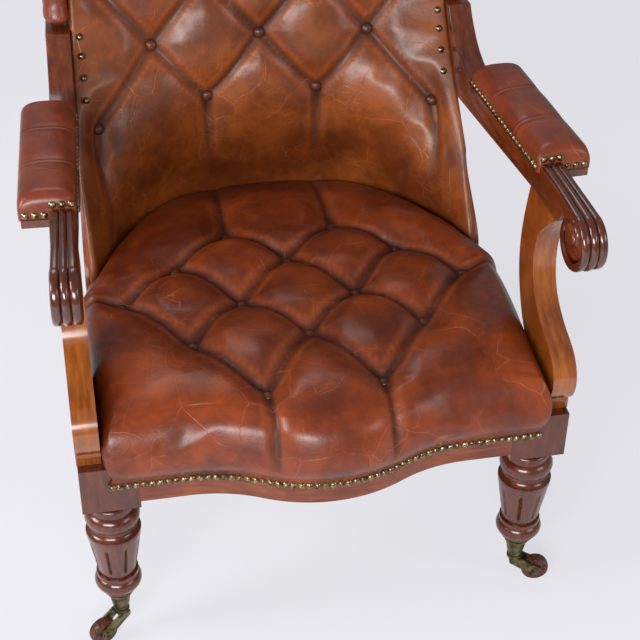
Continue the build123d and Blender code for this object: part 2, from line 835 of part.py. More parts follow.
def arm_pad():
    """Crowned pad with two seams across it."""
    length = pad_back_y - pad_front_y - 2 * fit_gap
    top, bottom = [], []
    for share, rise in zip(pad_row_shares, pad_rise_shares):
        y = pad_front_y + fit_gap + length * share
        base = pad_seat_z(y) + board_thickness
        top_row, bottom_row = [], []
        for across, crown in zip(pad_column_shares, pad_crown_shares):
            x = -pad_inner + (pad_inner + pad_outer) * across
            height = pad_edge_height + (pad_height - pad_edge_height) * min(rise, crown)
            top_row.append(arm_point(x, y, base + height))
            bottom_row.append(arm_point(x, y, base))
        top.append(top_row)
        bottom.append(bottom_row)
    return slab(top, bottom)


# Upholstered back. A place in it is a station u across, a height z and a share of the
# way from the inside face to the outside face.

edge_station = 3.5
whole_stations = [k / 2 for k in range(-7, 8)]


def back_inner(u, z):
    half = between(z, inner_levels, inner_half_widths)
    edge = between(z, inner_levels, inner_edge_ys)
    middle = between(z, inner_levels, inner_middle_ys)
    bend = between(z, inner_levels, inner_bends)
    share = abs(u) / edge_station
    return Vector(half * u / edge_station, middle - (middle - edge) * share**bend, z)


def back_outer(u, z):
    half = between(z, outer_levels, outer_half_widths)
    edge = between(z, outer_levels, outer_edge_ys)
    middle = between(z, outer_levels, outer_middle_ys)
    bend = between(z, outer_levels, outer_bends)
    share = abs(u) / edge_station
    high = Vector(half * u / edge_station, middle - (middle - edge) * share**bend, z)
    foot_x = math.copysign(between(abs(u), outer_foot_stations, outer_foot_xs), u)
    low = Vector(foot_x, between(abs(u), outer_foot_stations, outer_foot_ys), z)
    return low + (high - low) * between(z, (outer_foot_top, outer_levels[0]), (0, 1))


def back_place(u, z, share, gap=0.0):
    """Point at a share of the thickness, moved out by gap."""
    inside, outside = back_inner(u, z), back_outer(u, z)
    way = outside - inside
    return inside + way * share + way.normalized() * gap


back_buttons_at = [(u, v) for v in range(1, 6) for u in range(-3, 4) if (u + v) % 2 == 0]
back_folds = tuft_folds(back_buttons_at, [((u, 1), (u, -1)) for u in (-3, -1, 1, 3)])
back_top = inner_levels[-1]


def back_station(z):
    """Row number v at a height: the button rows are 1 to 5."""
    rows = (back_base_heights[1], *back_button_heights)
    return between(z, rows, range(len(rows)))


def back_heights():
    """Heights of the grid: the base, then two steps to each row of buttons."""
    heights = list(back_base_heights)
    for low, high in zip(back_button_heights, back_button_heights[1:]):
        heights += [low, (low + high) / 2]
    return heights + [back_button_heights[-1], crest_rail_bottom, back_top]


def back_fold_side(i, j):
    """The rows of buttons start two half steps above the base of the grid."""
    return fold_side(i, j - 2)


def back_drop(u, z):
    """How far the leather of the back is drawn in."""
    drop = tuft_drop(u, back_station(z), back_buttons_at, back_folds, back_button_depth, back_pleat_depth)
    side_fade = between(abs(u), back_fade_stations, back_fade_shares)
    return drop * side_fade * between(z, back_base_heights[1:3], (0, 1))


def layer_share(u, inner_share, edge_share):
    """Share of a layer, which changes to another at the side edges."""
    return edge_share if abs(u) == edge_station else inner_share


def back_cushion():
    front, rear = [], []
    for z in back_heights():
        front.append([back_inner(u, z) + Vector(0, back_drop(u, z), 0) for u in whole_stations])
        shares = [layer_share(u, cushion_share, cushion_edge_share) for u in whole_stations]
        rear.append([back_place(u, z, share) for u, share in zip(whole_stations, shares)])
    for share, rise in zip(crest_front_shares, crest_front_rises):
        row = [back_place(u, back_top, share) for u in whole_stations]
        front.append([Vector(p.X, p.Y, back_top + rise) for p in row])
    for share in crest_rear_shares:
        at_edge = max(share, cushion_edge_share + crest_edge_slope_share * share)
        row = [back_place(u, back_top, layer_share(u, share, at_edge)) for u in whole_stations]
        rear.append([Vector(p.X, p.Y, back_top + crest_gap) for p in row])
    return slab(front, rear, back_fold_side)


def back_block(stations, heights):
    """Wooden piece in the layer between the stuffing and the outside cover."""
    front = [[back_place(u, z, cushion_share, fit_gap) for u in stations] for z in heights]
    rear = [[back_place(u, z, frame_share, -fit_gap) for u in stations] for z in heights]
    first = round(2 * (stations[0] + edge_station))
    step = back_heights().index(heights[-1]) - len(heights) + 1
    return slab(front, rear, lambda i, j: back_fold_side(i + first, j + step))


def back_stile():
    heights = back_heights()
    near = [back_place(u, heights[0], cushion_share, fit_gap) for u in stile_stations]
    far = [back_place(u, heights[0], frame_share, -fit_gap) for u in stile_stations]
    foot = make_face(Polyline(*[(p.X, p.Y) for p in (near[0], near[1], far[1], far[0])], close=True))
    return back_block(stile_stations, heights) + prism(foot, seat_frame_top, heights[0])


def cross_rail(heights):
    inner = [u for u in whole_stations if abs(u) < stile_stations[0]]
    edge = stile_stations[0] - fit_gap / back_pitch
    return back_block([-edge, *inner, edge], heights)


def outside_back():
    """Cover that closes the back and its sides, and laps down over the rails."""
    outer, inner = [], []
    for z in [skirt_bottom, *back_heights()]:
        level = max(z, back_base_heights[0])
        outer_row, inner_row = [], []
        for u in whole_stations:
            far = back_place(u, level, 1.0)
            near = back_place(u, level, layer_share(u, cover_share, cover_edge_share))
            outer_row.append(Vector(far.X, far.Y, z))
            inner_row.append(Vector(near.X, near.Y, z))
        outer.append(outer_row)
        inner.append(inner_row)
    return slab(inner, outer, lambda i, j: back_fold_side(i, j - 1))


def back_roll():
    """Leather roll down the side of the back, from the crest to the arm."""
    rows = []
    for z in roll_levels:
        front = between(z, inner_levels, inner_edge_ys) - roll_front_proud
        rear = between(z, roll_levels, (roll_foot_rear_y, *outer_edge_ys[1 - len(roll_levels) :]))
        x, w, c = roll_inner_x, roll_width, roll_corner
        rows.append(
            [
                Vector(x, front + c, z),
                Vector(x + c, front, z),
                Vector(x + w - c, front, z),
                Vector(x + w, front + c, z),
                Vector(x + w, rear - c, z),
                Vector(x + w - c, rear, z),
                Vector(x, rear, z),
            ]
        )
    wires = [Wire.make_polygon(row, close=True) for row in rows]
    return Solid.make_loft(wires, ruled=True)


# Seat cushion over the rails

seat_button_rows = ((1, (-1, 1)), (2, (-2, 0, 2)), (3, (-3, -1, 1, 3)), (4, (-2, 0, 2)), (5, (-1, 1)))
seat_buttons_at = [(u, v) for v, row in seat_button_rows for u in row]
seat_straight_folds = [((s, 1), (s, -1)) for s in (-1, 1)]
seat_straight_folds += [((s * 3, 3), (s * 4, 3)) for s in (-1, 1)]
seat_straight_folds += [((s, 5), (s, seat_last_row)) for s in (-1, 1)]
seat_folds = tuft_folds(seat_buttons_at, seat_straight_folds)
seat_base = seat_frame_top + seat_base_gap


def seat_width(v):
    """Half width of the seat's top at row v."""
    return between(v, seat_taper_rows, (seat_half_width, inner_half_widths[0]))


def seat_y(u, v, front_y):
    """Place of row v along the seat at station u."""
    third = seat_row_third + seat_row_third_bend * u * u
    crease = min(back_inner(u, z).Y for z in back_base_heights[:2]) - seat_crease_gap
    fourth = third + (crease - third) * seat_row_fourth_share
    fifth = third + (crease - third) * seat_row_fifth_share
    places = (front_y, seat_row_front, seat_row_second, third, fourth, fifth, crease)
    return between(v, range(len(places)), places)


def seat_z(u, v):
    side = between(abs(u), seat_shoulder_stations, (seat_crown, seat_side_edge_height))
    heights = (seat_front_edge_height, seat_crown, seat_crown, seat_crease_height)
    drop = tuft_drop(u, v, seat_buttons_at, seat_folds, seat_button_depth, seat_pleat_depth)
    drop *= between(v, seat_crown_rows[2:], (1, 0))
    drop *= between(abs(u), seat_fade_stations, (1, seat_edge_pleat_share))
    return min(side, between(v, seat_crown_rows, heights)) - drop


def seat_place(u, v, side_ring, front_ring):
    """Point of the seat's skin: ring numbers count down its side or its front."""
    ring = max(side_ring, front_ring)
    reach = seat_width(v) + seat_side_reaches[ring]
    back_off = (ring - side_ring) * seat_ring_step
    pull = seat_corner_pull * min(side_ring, front_ring)
    x = (reach - back_off - pull) * u / edge_station
    z = seat_ring_heights[ring] if ring else seat_z(u, v)
    front_y = serpentine_y(min(abs(x), border_front_half_width), -seat_front_reaches[ring])
    if v == 0:
        y = front_y + (ring - front_ring) * seat_ring_step + pull
    else:
        y = seat_y(u, v, front_y + ring * seat_ring_step + pull)
    return Vector(x, y, z)


def seat_cushion():
    rings = len(seat_ring_heights) - 1
    down = list(range(rings, 0, -1))
    columns = [(-edge_station, r) for r in down] + [(u, 0) for u in whole_stations]
    columns += [(edge_station, r) for r in reversed(down)]
    rows = [(0, r) for r in down] + [(k / 2, 0) for k in range(2 * seat_last_row + 1)]
    grid = [[seat_place(u, v, side_ring, front_ring) for u, side_ring in columns] for v, front_ring in rows]
    # The last row comes straight down to the foot
    last = [seat_place(u, seat_last_row, side_ring, 0) for u, side_ring in columns]
    grid.append([Vector(p.X, p.Y + seat_back_step, seat_base) for p in last])
    middle = len(columns) / 2
    right_corner = len(columns) - 1 - rings

    def split(i, j):
        if j == len(rows) - 1:
            return i < middle
        if j < rings and not rings <= i < right_corner:
            return i > middle
        return fold_side(i - rings, j - rings)

    return capped(grid, split)


def seat_border():
    """Leather over the faces of the front and side rails, down to the nails."""
    inner = serpentine_edges(border_front_half_width, -fit_gap)
    outer = serpentine_edges(border_front_half_width, -fit_gap - border_thickness)
    x = border_front_half_width
    ends = [
        Line((x, block_front_y - fit_gap), (x, block_front_y - fit_gap - border_thickness)),
        Line((-x, block_front_y - fit_gap), (-x, block_front_y - fit_gap - border_thickness)),
    ]
    front = prism(make_face(inner + outer + ends), border_bottom, seat_frame_top)
    near, far = side_rail_outer_x + fit_gap, side_rail_outer_x + fit_gap + border_thickness
    waist = side_rail_waist_x + fit_gap
    points = [
        (near, block_back_y + fit_gap),
        (far, block_back_y + fit_gap),
        (waist + border_thickness, border_back_y),
        (waist, border_back_y),
    ]
    side = prism(make_face(Polyline(*points, close=True)), border_bottom, seat_frame_top)
    return Compound([front, side, mirror(side, about=Plane.YZ)])


# Small repeated pieces


def aimed(shape, point, normal):
    """Copy of a shape drawn about the origin with +Z outwards, placed on a surface."""
    return Plane(origin=point, z_dir=normal).location * shape


def dome(radius, height):
    """Cap of a sphere standing on Z = 0."""
    ball = (radius**2 + height**2) / (2 * height)
    low_angle = math.degrees(math.asin((ball - height) / ball))
    return Pos(0, 0, height - ball) * Sphere(ball, arc_size1=low_angle, arc_size2=90, align=None)


def button():
    return dome(button_radius, button_height)


def nail():
    shank = Pos(0, 0, -nail_shank_length / 2) * Cylinder(nail_shank_radius, nail_shank_length)
    return dome(nail_radius, nail_height) + shank


def seat_buttons():
    shape = button()
    made = []
    for u, v in seat_buttons_at:
        place = seat_place(u, v, 0, 0)
        made.append(Pos(place.X, place.Y, place.Z + button_rise) * shape)
    return Compound(made)


def back_buttons():
    shape = button()
    made = []
    for u, v in back_buttons_at:
        z = back_button_heights[v - 1]
        place = back_inner(u, z) + Vector(0, back_drop(u, z) - button_rise, 0)
        side = back_inner(u + tilt_step, z) - back_inner(u - tilt_step, z)
        reach = tilt_step * back_pitch
        rise = back_inner(u, z + reach) - back_inner(u, z - reach)
        made.append(aimed(shape, place, side.cross(rise)))
    return Compound(made)


def spaced(points, pitch):
    """Points a pitch apart along a run of points, with equal ends."""
    lengths = [0.0]
    for a, b in zip(points, points[1:]):
        lengths.append(lengths[-1] + (b - a).length)
    count = max(2, round(lengths[-1] / pitch) + 1)
    made = []
    for k in range(count):
        at = lengths[-1] * k / (count - 1)
        made.append(
            Vector(
                between(at, lengths, [p.X for p in points]),
                between(at, lengths, [p.Y for p in points]),
                between(at, lengths, [p.Z for p in points]),
            )
        )
    return made


def rail_nails():
    """Nails along the lower edge of the leather on the front and side rails."""
    shape = nail()
    face = -fit_gap - border_thickness + nail_sink
    half = border_front_half_width - nail_radius
    run = [half * (2 * k / nail_line_steps - 1) for k in range(nail_line_steps + 1)]
    line = [Vector(x, serpentine_y(x, face), nail_height_z) for x in run]
    made = []
    for place in spaced(line, nail_pitch):
        slope = (serpentine_y(place.X + 1, face) - serpentine_y(place.X - 1, face)) / 2
        made.append(aimed(shape, place, Vector(slope, -1, 0)))
    outer = fit_gap + border_thickness - nail_sink
    start = Vector(side_rail_outer_x + outer, block_back_y + nail_pitch, nail_height_z)
    end = Vector(side_rail_waist_x + outer, border_back_y - nail_pitch, nail_height_z)
    for place in spaced([start, end], nail_pitch):
        right = aimed(shape, place, Vector(1, 0, 0))
        made += [right, mirror(right, about=Plane.YZ)]
    return Compound(made)


def pad_nails():
    """Nails along the inner side of an arm pad, and across its two ends."""
    shape = nail()
    turn = math.radians(arm_turn)
    across = Vector(math.cos(turn), math.sin(turn), 0)
    along = Vector(-math.sin(turn), math.cos(turn), 0)
    made = []
    side = []
    for y in (pad_front_y + nail_pitch, pad_back_y - nail_pitch):
        side.append(arm_point(-pad_inner + nail_sink, y, pad_seat_z(y) + board_thickness + pad_nail_rise))
    for place in spaced(side, pad_nail_pitch):
        made.append(aimed(shape, place, -across))
    front_y = pad_front_y + fit_gap + nail_sink
    back_y = pad_back_y - fit_gap - nail_sink
    front_z = scroll_centre_z + scroll_radius + nail_radius + fit_gap
    back_z = arm_step_back_z + nail_radius + fit_gap
    low = board_thickness + pad_nail_rise
    first_x = arm_thickness / 2 + nail_radius + fit_gap
    for k in (-1, 0, 1):
        x = k * pad_nail_pitch
        made.append(aimed(shape, arm_point(x, front_y, front_z), -along))
        made.append(aimed(shape, arm_point(x, back_y, back_z), along))
    for k in range(pad_nail_side_count):
        x = first_x + k * pad_nail_pitch
        made.append(aimed(shape, arm_point(x, front_y, pad_seat_front_z + low), -along))
        made.append(aimed(shape, arm_point(x, back_y, pad_seat_back_z + low), along))
    return Compound(made)


def back_edge_nails():
    """Spaced nails that hold the inside leather beside the sweep of the arms."""
    shape = nail()
    made = []
    for y, z in zip(back_nail_ys, back_nail_zs):
        edge = back_inner(edge_station, z)
        place = Vector(edge.X - nail_radius, edge.Y, z)
        right = aimed(shape, place, Vector(0, -1, back_nail_tilt_share))
        made += [right, mirror(right, about=Plane.YZ)]
    return Compound(made)


# Seat platform


def seat_webbing():
    """Strips of webbing crossing under the seat frame, one layer over the other."""
    made = []
    for k in range(web_count_along):
        x = (k - (web_count_along - 1) / 2) * web_pitch_along
        high = rail_bottom - web_thickness / 2
        end = back_rail_y(x) + web_lap
        middle = (end + web_front_y) / 2
        made.append(Pos(x, middle, high) * Box(web_width, end - web_front_y, web_thickness))
    for k in range(web_count_across):
        y = web_first_y + k * web_pitch_across
        half = side_rail_outer(y + web_width / 2) - web_margin
        low = rail_bottom - web_thickness - web_thickness / 2
        made.append(Pos(0, y, low) * Box(2 * half, web_width, web_thickness))
    return Compound(made)


def seat_springs():
    """Waisted springs standing on the webbing, drawn as closed sleeves of wire thickness."""
    height = seat_frame_top - rail_bottom
    outer = ThreePointArc((spring_radius, 0), (spring_waist_radius, height / 2), (spring_radius, height))
    inner = ThreePointArc(
        (spring_radius - spring_wire, 0),
        (spring_waist_radius - spring_wire, height / 2),
        (spring_radius - spring_wire, height),
    )
    edges = [
        outer,
        inner,
        Line((spring_radius - spring_wire, 0), (spring_radius, 0)),
        Line((spring_radius - spring_wire, height), (spring_radius, height)),
    ]
    shape = revolve(Plane.XZ * make_face(edges), Axis.Z)
    made = []
    for i in (-1, 0, 1):
        for j in range(spring_count_along):
            y = spring_first_y + j * spring_pitch_y
            made.append(Pos(i * spring_pitch_x, y, rail_bottom) * shape)
    return Compound(made)


def seat_hessian():
    right = list(zip(hessian_outline_xs, hessian_outline_ys))
    left = [(-x, y) for x, y in reversed(right)]
    outline = make_face(Polyline(*right, *left, close=True))
    return prism(outline, seat_frame_top, seat_frame_top + hessian_thickness)


# Build and write every piece

save("front_rail", front_rail())
save_pair("side_rail", side_rail())
save("back_rail", back_rail())
save("corner_blocks", corner_blocks())
save_pair("front_leg", front_leg())
save_pair("rear_leg", rear_leg())
save_pair("back_stile", back_stile())
save("crest_rail", cross_rail((crest_rail_bottom, back_top)))
save("stuffing_rail", cross_rail(back_base_heights[2:]))
save_pair("arm_support", arm_support())
save_pair("arm", arm())
save_pair("arm_board", arm_board())
save_pair("arm_pad", arm_pad())
save("seat_cushion", seat_cushion())
save("seat_border", seat_border())
save("back_cushion", back_cushion())
save("outside_back", outside_back())
save_pair("back_roll", back_roll())
save("seat_buttons", seat_buttons())
save("back_buttons", back_buttons())
save("rail_nails", rail_nails())
save_pair("pad_nails", pad_nails())
save("back_edge_nails", back_edge_nails())
save("seat_webbing", seat_webbing())
save("seat_springs", seat_springs())
save("seat_hessian", seat_hessian())

rear_foot_y = rear_leg_front_y + rear_leg_size / 2 + rear_leg_sweep
caster_places = {
    "front_right": (block_centre_x, block_centre_y, caster_turn_front_right),
    "front_left": (-block_centre_x, block_centre_y, caster_turn_front_left),
    "rear_right": (rear_leg_x, rear_foot_y, caster_turn_rear_right),
    "rear_left": (-rear_leg_x, rear_foot_y, caster_turn_rear_left),
}
for corner, (x, y, turn) in caster_places.items():
    place = Pos(x, y, 0) * Rot(0, 0, turn)
    save(f"caster_cup_{corner}", place * caster_cup())
    save(f"caster_horn_{corner}", place * caster_horn())
    save(f"caster_axle_{corner}", place * caster_axle())
    save(f"caster_wheel_{corner}", place * caster_wheel())
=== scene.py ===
import math

import bpy
from mathutils import Matrix, Vector, noise


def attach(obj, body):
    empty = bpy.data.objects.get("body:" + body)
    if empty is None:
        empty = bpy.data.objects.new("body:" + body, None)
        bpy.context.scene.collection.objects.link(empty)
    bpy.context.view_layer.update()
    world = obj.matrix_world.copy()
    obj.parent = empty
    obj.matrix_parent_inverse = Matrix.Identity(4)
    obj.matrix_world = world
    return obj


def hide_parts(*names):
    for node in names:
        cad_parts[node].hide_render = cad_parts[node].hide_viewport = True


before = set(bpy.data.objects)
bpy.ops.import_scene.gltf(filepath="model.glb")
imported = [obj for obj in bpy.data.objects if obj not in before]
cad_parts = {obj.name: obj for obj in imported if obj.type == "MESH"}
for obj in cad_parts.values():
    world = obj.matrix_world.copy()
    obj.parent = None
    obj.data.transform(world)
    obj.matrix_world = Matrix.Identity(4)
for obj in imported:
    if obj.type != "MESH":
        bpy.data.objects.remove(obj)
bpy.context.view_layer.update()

bl_info = {
    "name": "Buttoned library armchair",
    "version": (1, 0, 0),
    "blender": (4, 5, 0),
    "location": "View3D > Sidebar > Chair",
    "description": "Dresses the frame of a deep-buttoned leather armchair",
    "category": "Object",
}

MM = 0.001
RAIL_TOP = 0.322
ROOT = "chair"
SIDES = ((1, "right"), (-1, "left"))


# Plain helpers


def deselect():
    bpy.ops.object.select_all(action="DESELECT")


def active(obj):
    deselect()
    obj.select_set(True)
    bpy.context.view_layer.objects.active = obj


def between(x, xs, ys):
    """Value at x on the straight runs through the points (xs, ys)."""
    if x <= xs[0]:
        return ys[0]
    for x0, x1, y0, y1 in zip(xs, xs[1:], ys, ys[1:]):
        if x <= x1:
            return y0 + (y1 - y0) * (x - x0) / (x1 - x0)
    return ys[-1]


def smooth(x, xs, ys):
    """Value at x on a soft curve through the points (xs, ys)."""
    if x <= xs[0]:
        return ys[0]
    if x >= xs[-1]:
        return ys[-1]
    k = max(i for i in range(len(xs) - 1) if xs[i] <= x)
    y0, y1, step = ys[k], ys[k + 1], xs[k + 1] - xs[k]

    def slope(i):
        before, after = max(i - 1, 0), min(i + 1, len(xs) - 1)
        return (ys[after] - ys[before]) / (xs[after] - xs[before])

    t = (x - xs[k]) / step
    a, b = slope(k) * step, slope(k + 1) * step
    rise = y0 * (2 * t**3 - 3 * t**2 + 1) + a * (t**3 - 2 * t**2 + t)
    return rise + y1 * (3 * t**2 - 2 * t**3) + b * (t**3 - t**2)


def rounded(value, power):
    """A sine or cosine, squared off by a power below 1."""
    return math.copysign(abs(value) ** power, value)


def ease(t):
    """Soft step from 0 to 1."""
    t = max(0.0, min(1.0, t))
    return t * t * (3 - 2 * t)


def add_grid(name, across, along):
    """A flat grid of cells whose corners lie at -1..1, ready to be shaped."""
    deselect()
    bpy.ops.mesh.primitive_grid_add(x_subdivisions=across, y_subdivisions=along, size=2)
    grid = bpy.context.object
    grid.name = name
    grid.data.name = name
    return grid


def shape_grid(grid, place):
    """Moves each corner of a flat grid to place(x, y)."""
    for vertex in grid.data.vertices:
        vertex.co = place(vertex.co.x, vertex.co.y)
    grid.data.update()
    return grid


def store(obj, name, values):
    """Keeps one number for each vertex, for the materials to read."""
    layer = obj.data.attributes.new(name, "FLOAT", "POINT")
    layer.data.foreach_set("value", values)


def apply_modifier(obj, kind, **settings):
    active(obj)
    modifier = obj.modifiers.new(kind.title(), kind)
    for key, value in settings.items():
        setattr(modifier, key, value)
    bpy.ops.object.modifier_apply(modifier=modifier.name)
    return obj


def subdivide(obj):
    return apply_modifier(obj, "SUBSURF", levels=1, render_levels=1)


def bevel(obj, width):
    """Breaks the sharp edges."""
    return apply_modifier(
        obj, "BEVEL", width=width, segments=3, limit_method="ANGLE", angle_limit=math.radians(40)
    )


def smooth_shade(obj, degrees=None):
    active(obj)
    if degrees is None:
        bpy.ops.object.shade_smooth()
    else:
        bpy.ops.object.shade_smooth_by_angle(angle=math.radians(degrees))


def edit(obj, *steps):
    """Runs steps of edit mode with the whole of obj selected."""
    active(obj)
    bpy.ops.object.mode_set(mode="EDIT")
    bpy.ops.mesh.select_all(action="SELECT")
    for step in steps:
        step()
    bpy.ops.object.mode_set(mode="OBJECT")


def select_rim():
    """Selects the open edges, in edit mode."""
    bpy.ops.mesh.select_all(action="DESELECT")
    bpy.ops.mesh.select_mode(type="EDGE")
    bpy.ops.mesh.select_non_manifold()


def outward(obj):
    """Turns all faces outwards."""
    edit(obj, lambda: bpy.ops.mesh.normals_make_consistent(inside=False))


def weld(obj, threshold):
    """Joins the edges that meet along a rolled-up grid, and fills its ends."""
    edit(
        obj,
        lambda: bpy.ops.mesh.remove_doubles(threshold=threshold),
        lambda: bpy.ops.mesh.fill_holes(sides=0),
    )
    outward(obj)


def fill_rim(obj):
    """Fills the flat open rim with one face."""
    edit(obj, select_rim, bpy.ops.mesh.edge_face_add)
    outward(obj)


def join(main, others):
    """Joins the other pieces to the main one."""
    deselect()
    for piece in (*others, main):
        piece.select_set(True)
    bpy.context.view_layer.objects.active = main
    bpy.ops.object.join()
    return main


def finish_piece(obj, material, nodes=(), body=ROOT):
    """Gives a piece of the chair its material, its body and the nodes that it stands for."""
    obj.data.materials.clear()
    obj.data.materials.append(material)
    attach(obj, body)
    if nodes:
        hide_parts(*nodes)


# Materials


def colour(text):
    """Linear colour from an sRGB hex value."""
    parts = [int(text[k : k + 2], 16) / 255 for k in (1, 3, 5)]
    linear = [c / 12.92 if c <= 0.04045 else ((c + 0.055) / 1.055) ** 2.4 for c in parts]
    return (*linear, 1.0)


def grey(value):
    return (value, value, value, 1.0)


def feed(material, node, inputs):
    """Sets inputs of a shader node: each is a value, or an output to link."""
    for key, value in inputs.items():
        socket = node.inputs[key]
        if isinstance(value, bpy.types.NodeSocket):
            material.node_tree.links.new(value, socket)
        else:
            socket.default_value = value


def add_node(material, kind, inputs=None, **settings):
    """Adds a shader node with its settings and inputs."""
    node = material.node_tree.nodes.new("ShaderNode" + kind)
    for key, value in settings.items():
        setattr(node, key, value)
    feed(material, node, inputs or {})
    return node


def new_material(name):
    """Material with only an output and a principled shader."""
    material = bpy.data.materials.new(name)
    material.use_nodes = True
    material.node_tree.nodes.clear()
    shader = add_node(material, "BsdfPrincipled")
    add_node(material, "OutputMaterial", {"Surface": shader.outputs["BSDF"]})
    return material, shader


def ramp(material, factor, *stops):
    """Colour ramp: stops are (place, colour)."""
    node = add_node(material, "ValToRGB", {"Fac": factor})
    elements = node.color_ramp.elements
    while len(elements) < len(stops):
        elements.new(0.5)
    for element, (place, tint) in zip(elements, stops):
        element.position = place
        element.color = tint
    return node.outputs["Color"]


def mask(material, factor, low, high):
    """0 below low and 1 above high."""
    return ramp(material, factor, (low, grey(0)), (high, grey(1)))


def mix(material, factor, a, b):
    node = add_node(material, "Mix", data_type="RGBA", blend_type="MIX")
    feed(material, node, {0: factor, 6: a, 7: b})
    return node.outputs[2]


def maths(material, operation, *values):
    return add_node(material, "Math", dict(enumerate(values)), operation=operation).outputs[0]


def times(material, a, b):
    return maths(material, "MULTIPLY", a, b)


def times_add(material, a, b, c):
    return maths(material, "MULTIPLY_ADD", a, b, c)


def object_place(material, scale=(1, 1, 1)):
    """Object coordinates in metres, stretched along the grain of one material."""
    source = add_node(material, "TexCoord").outputs["Object"]
    return add_node(material, "Mapping", {"Vector": source, "Scale": scale}).outputs["Vector"]


def clouds(material, place, scale, detail, roughness=0.5):
    """Noise in patches of about 1/scale metre: its outputs Fac and Color."""
    inputs = {"Vector": place, "Scale": scale, "Detail": detail, "Roughness": roughness}
    return add_node(material, "TexNoise", inputs).outputs


def bumped(material, shader, height, strength, distance):
    """Raises the surface by height, over distance metres."""
    bump = add_node(material, "Bump", {"Strength": strength, "Distance": distance, "Height": height})
    feed(material, shader, {"Normal": bump.outputs["Normal"]})


def leather_material(name, base, rub, dark, folded=True, crackle=1.0):
    """Aniline hide, hand-dyed and waxed: brown dye worn to red on the crowns, painted shade in
    the folds and round the buttons, long pale creases, and the soft gloss of long polishing."""
    material, shader = new_material(name)
    base, rub, dark = colour(base), colour(rub), colour(dark)
    place = object_place(material)
    # Cloudy dye, patches of about 80 mm and of 15 mm
    broad = clouds(material, place, 12.0, 5.0, 0.62)
    fine = clouds(material, place, 70.0, 5.0, 0.68)
    shade = ramp(material, broad["Color"], (0.3, grey(1)), (0.5, grey(0)))
    dyed = mix(material, times(material, mask(material, broad["Fac"], 0.42, 0.68), 0.8), base, rub)
    dyed = mix(material, times(material, shade, 0.5 if folded else 0.28), dyed, dark)
    dyed = mix(material, times(material, mask(material, fine["Fac"], 0.4, 0.72), 0.3), dyed, dark)
    # Creases of old hide: long ones in cells of about 75 mm, short ones of 22 mm
    warp = clouds(material, place, 9.0, 4.0)
    shift = {0: warp["Color"], 1: (0.05, 0.05, 0.05), 2: place}
    warped = add_node(material, "VectorMath", shift, operation="MULTIPLY_ADD").outputs[0]
    creases = []
    for scale, width, where, low in ((13.0, 0.009, broad, 0.44), (46.0, 0.022, warp, 0.55)):
        cells = add_node(material, "TexVoronoi", {"Vector": warped, "Scale": scale}, feature="DISTANCE_TO_EDGE")
        line = ramp(material, cells.outputs["Distance"], (0.0, grey(1)), (width, grey(0)))
        creases.append(times(material, line, mask(material, where["Fac"], low, low + 0.12)))
    crease = maths(material, "MAXIMUM", *creases)
    # Gloss: waxed, duller in the folds
    rough, coat = times_add(material, fine["Fac"], 0.22, 0.25), 0.24
    # Pores of about 1.5 mm, coarser than real so that they show, with the creases
    pores = add_node(material, "TexVoronoi", {"Vector": place, "Scale": 650.0}).outputs["Distance"]
    height = times_add(material, crease, -0.8, times_add(material, pores, 0.2, fine["Fac"]))
    if folded:
        marks = ("fold", "crown", "ridge")
        fold, crown, ridge = (add_node(material, "Attribute", attribute_name=m).outputs["Fac"] for m in marks)
        worn = times(material, crown, times_add(material, broad["Fac"], 1.6, -0.5))
        dyed = mix(material, times(material, worn, 0.5), dyed, rub)
        edge = times(material, ridge, times_add(material, fine["Fac"], 1.6, -0.35))
        dyed = mix(material, times(material, edge, 0.8), dyed, colour("#bf6233"))
        # Painted shade: darkens the bottom of each fold and a pool round each button
        dyed = mix(material, times(material, fold, 0.94), dyed, dark)
        rough = times_add(material, fold, 0.3, rough)
        coat = times_add(material, fold, -0.22, coat)
        height = times_add(material, ridge, 1.6, height)
    dyed = mix(material, times(material, crease, 0.38 * crackle), dyed, colour("#bd6a43"))
    finish = {"Base Color": dyed, "Roughness": rough, "Coat Weight": coat, "Coat Roughness": 0.22, "IOR": 1.44}
    feed(material, shader, finish)
    bumped(material, shader, height, 0.3, 0.0016)
    return material


def polished_wood(name, base, light, dark, grain, rough=0.26, coat=0.6):
    """Mahogany, French polished: red-brown with fine dark pores drawn out along the grain,
    under a thin hard gloss."""
    material, shader = new_material(name)
    base, light, dark = colour(base), colour(light), colour(dark)
    place = object_place(material, grain)
    broad = clouds(material, place, 30.0, 4.0, 0.55)["Fac"]
    fine = clouds(material, place, 260.0, 3.0, 0.7)["Fac"]
    worn = clouds(material, object_place(material), 14.0, 3.0)["Fac"]
    pore = ramp(material, fine, (0.36, grey(1)), (0.5, grey(0)))
    tone = ramp(material, broad, (0.12, dark), (0.5, base), (0.9, light))
    tone = mix(material, times(material, pore, 0.22), tone, dark)
    tone = mix(material, times(material, mask(material, worn, 0.4, 0.7), 0.3), tone, light)
    shine = times_add(material, worn, 0.16, rough - 0.08)
    feed(material, shader, {"Base Color": tone, "Roughness": shine, "Coat Weight": coat, "Coat Roughness": 0.12})
    bumped(material, shader, fine, 0.12, 0.0004)
    return material


def raw_wood(name, base, dark):
    """Beech, sawn and left bare: pale, flecked along the grain, and dull."""
    material, shader = new_material(name)
    fleck = clouds(material, object_place(material, (1, 8, 8)), 40.0, 5.0)["Fac"]
    tone = ramp(material, fleck, (0.35, colour(dark)), (0.65, colour(base)))
    feed(material, shader, {"Base Color": tone, "Roughness": 0.7})
    bumped(material, shader, fleck, 0.2, 0.0005)
    return material


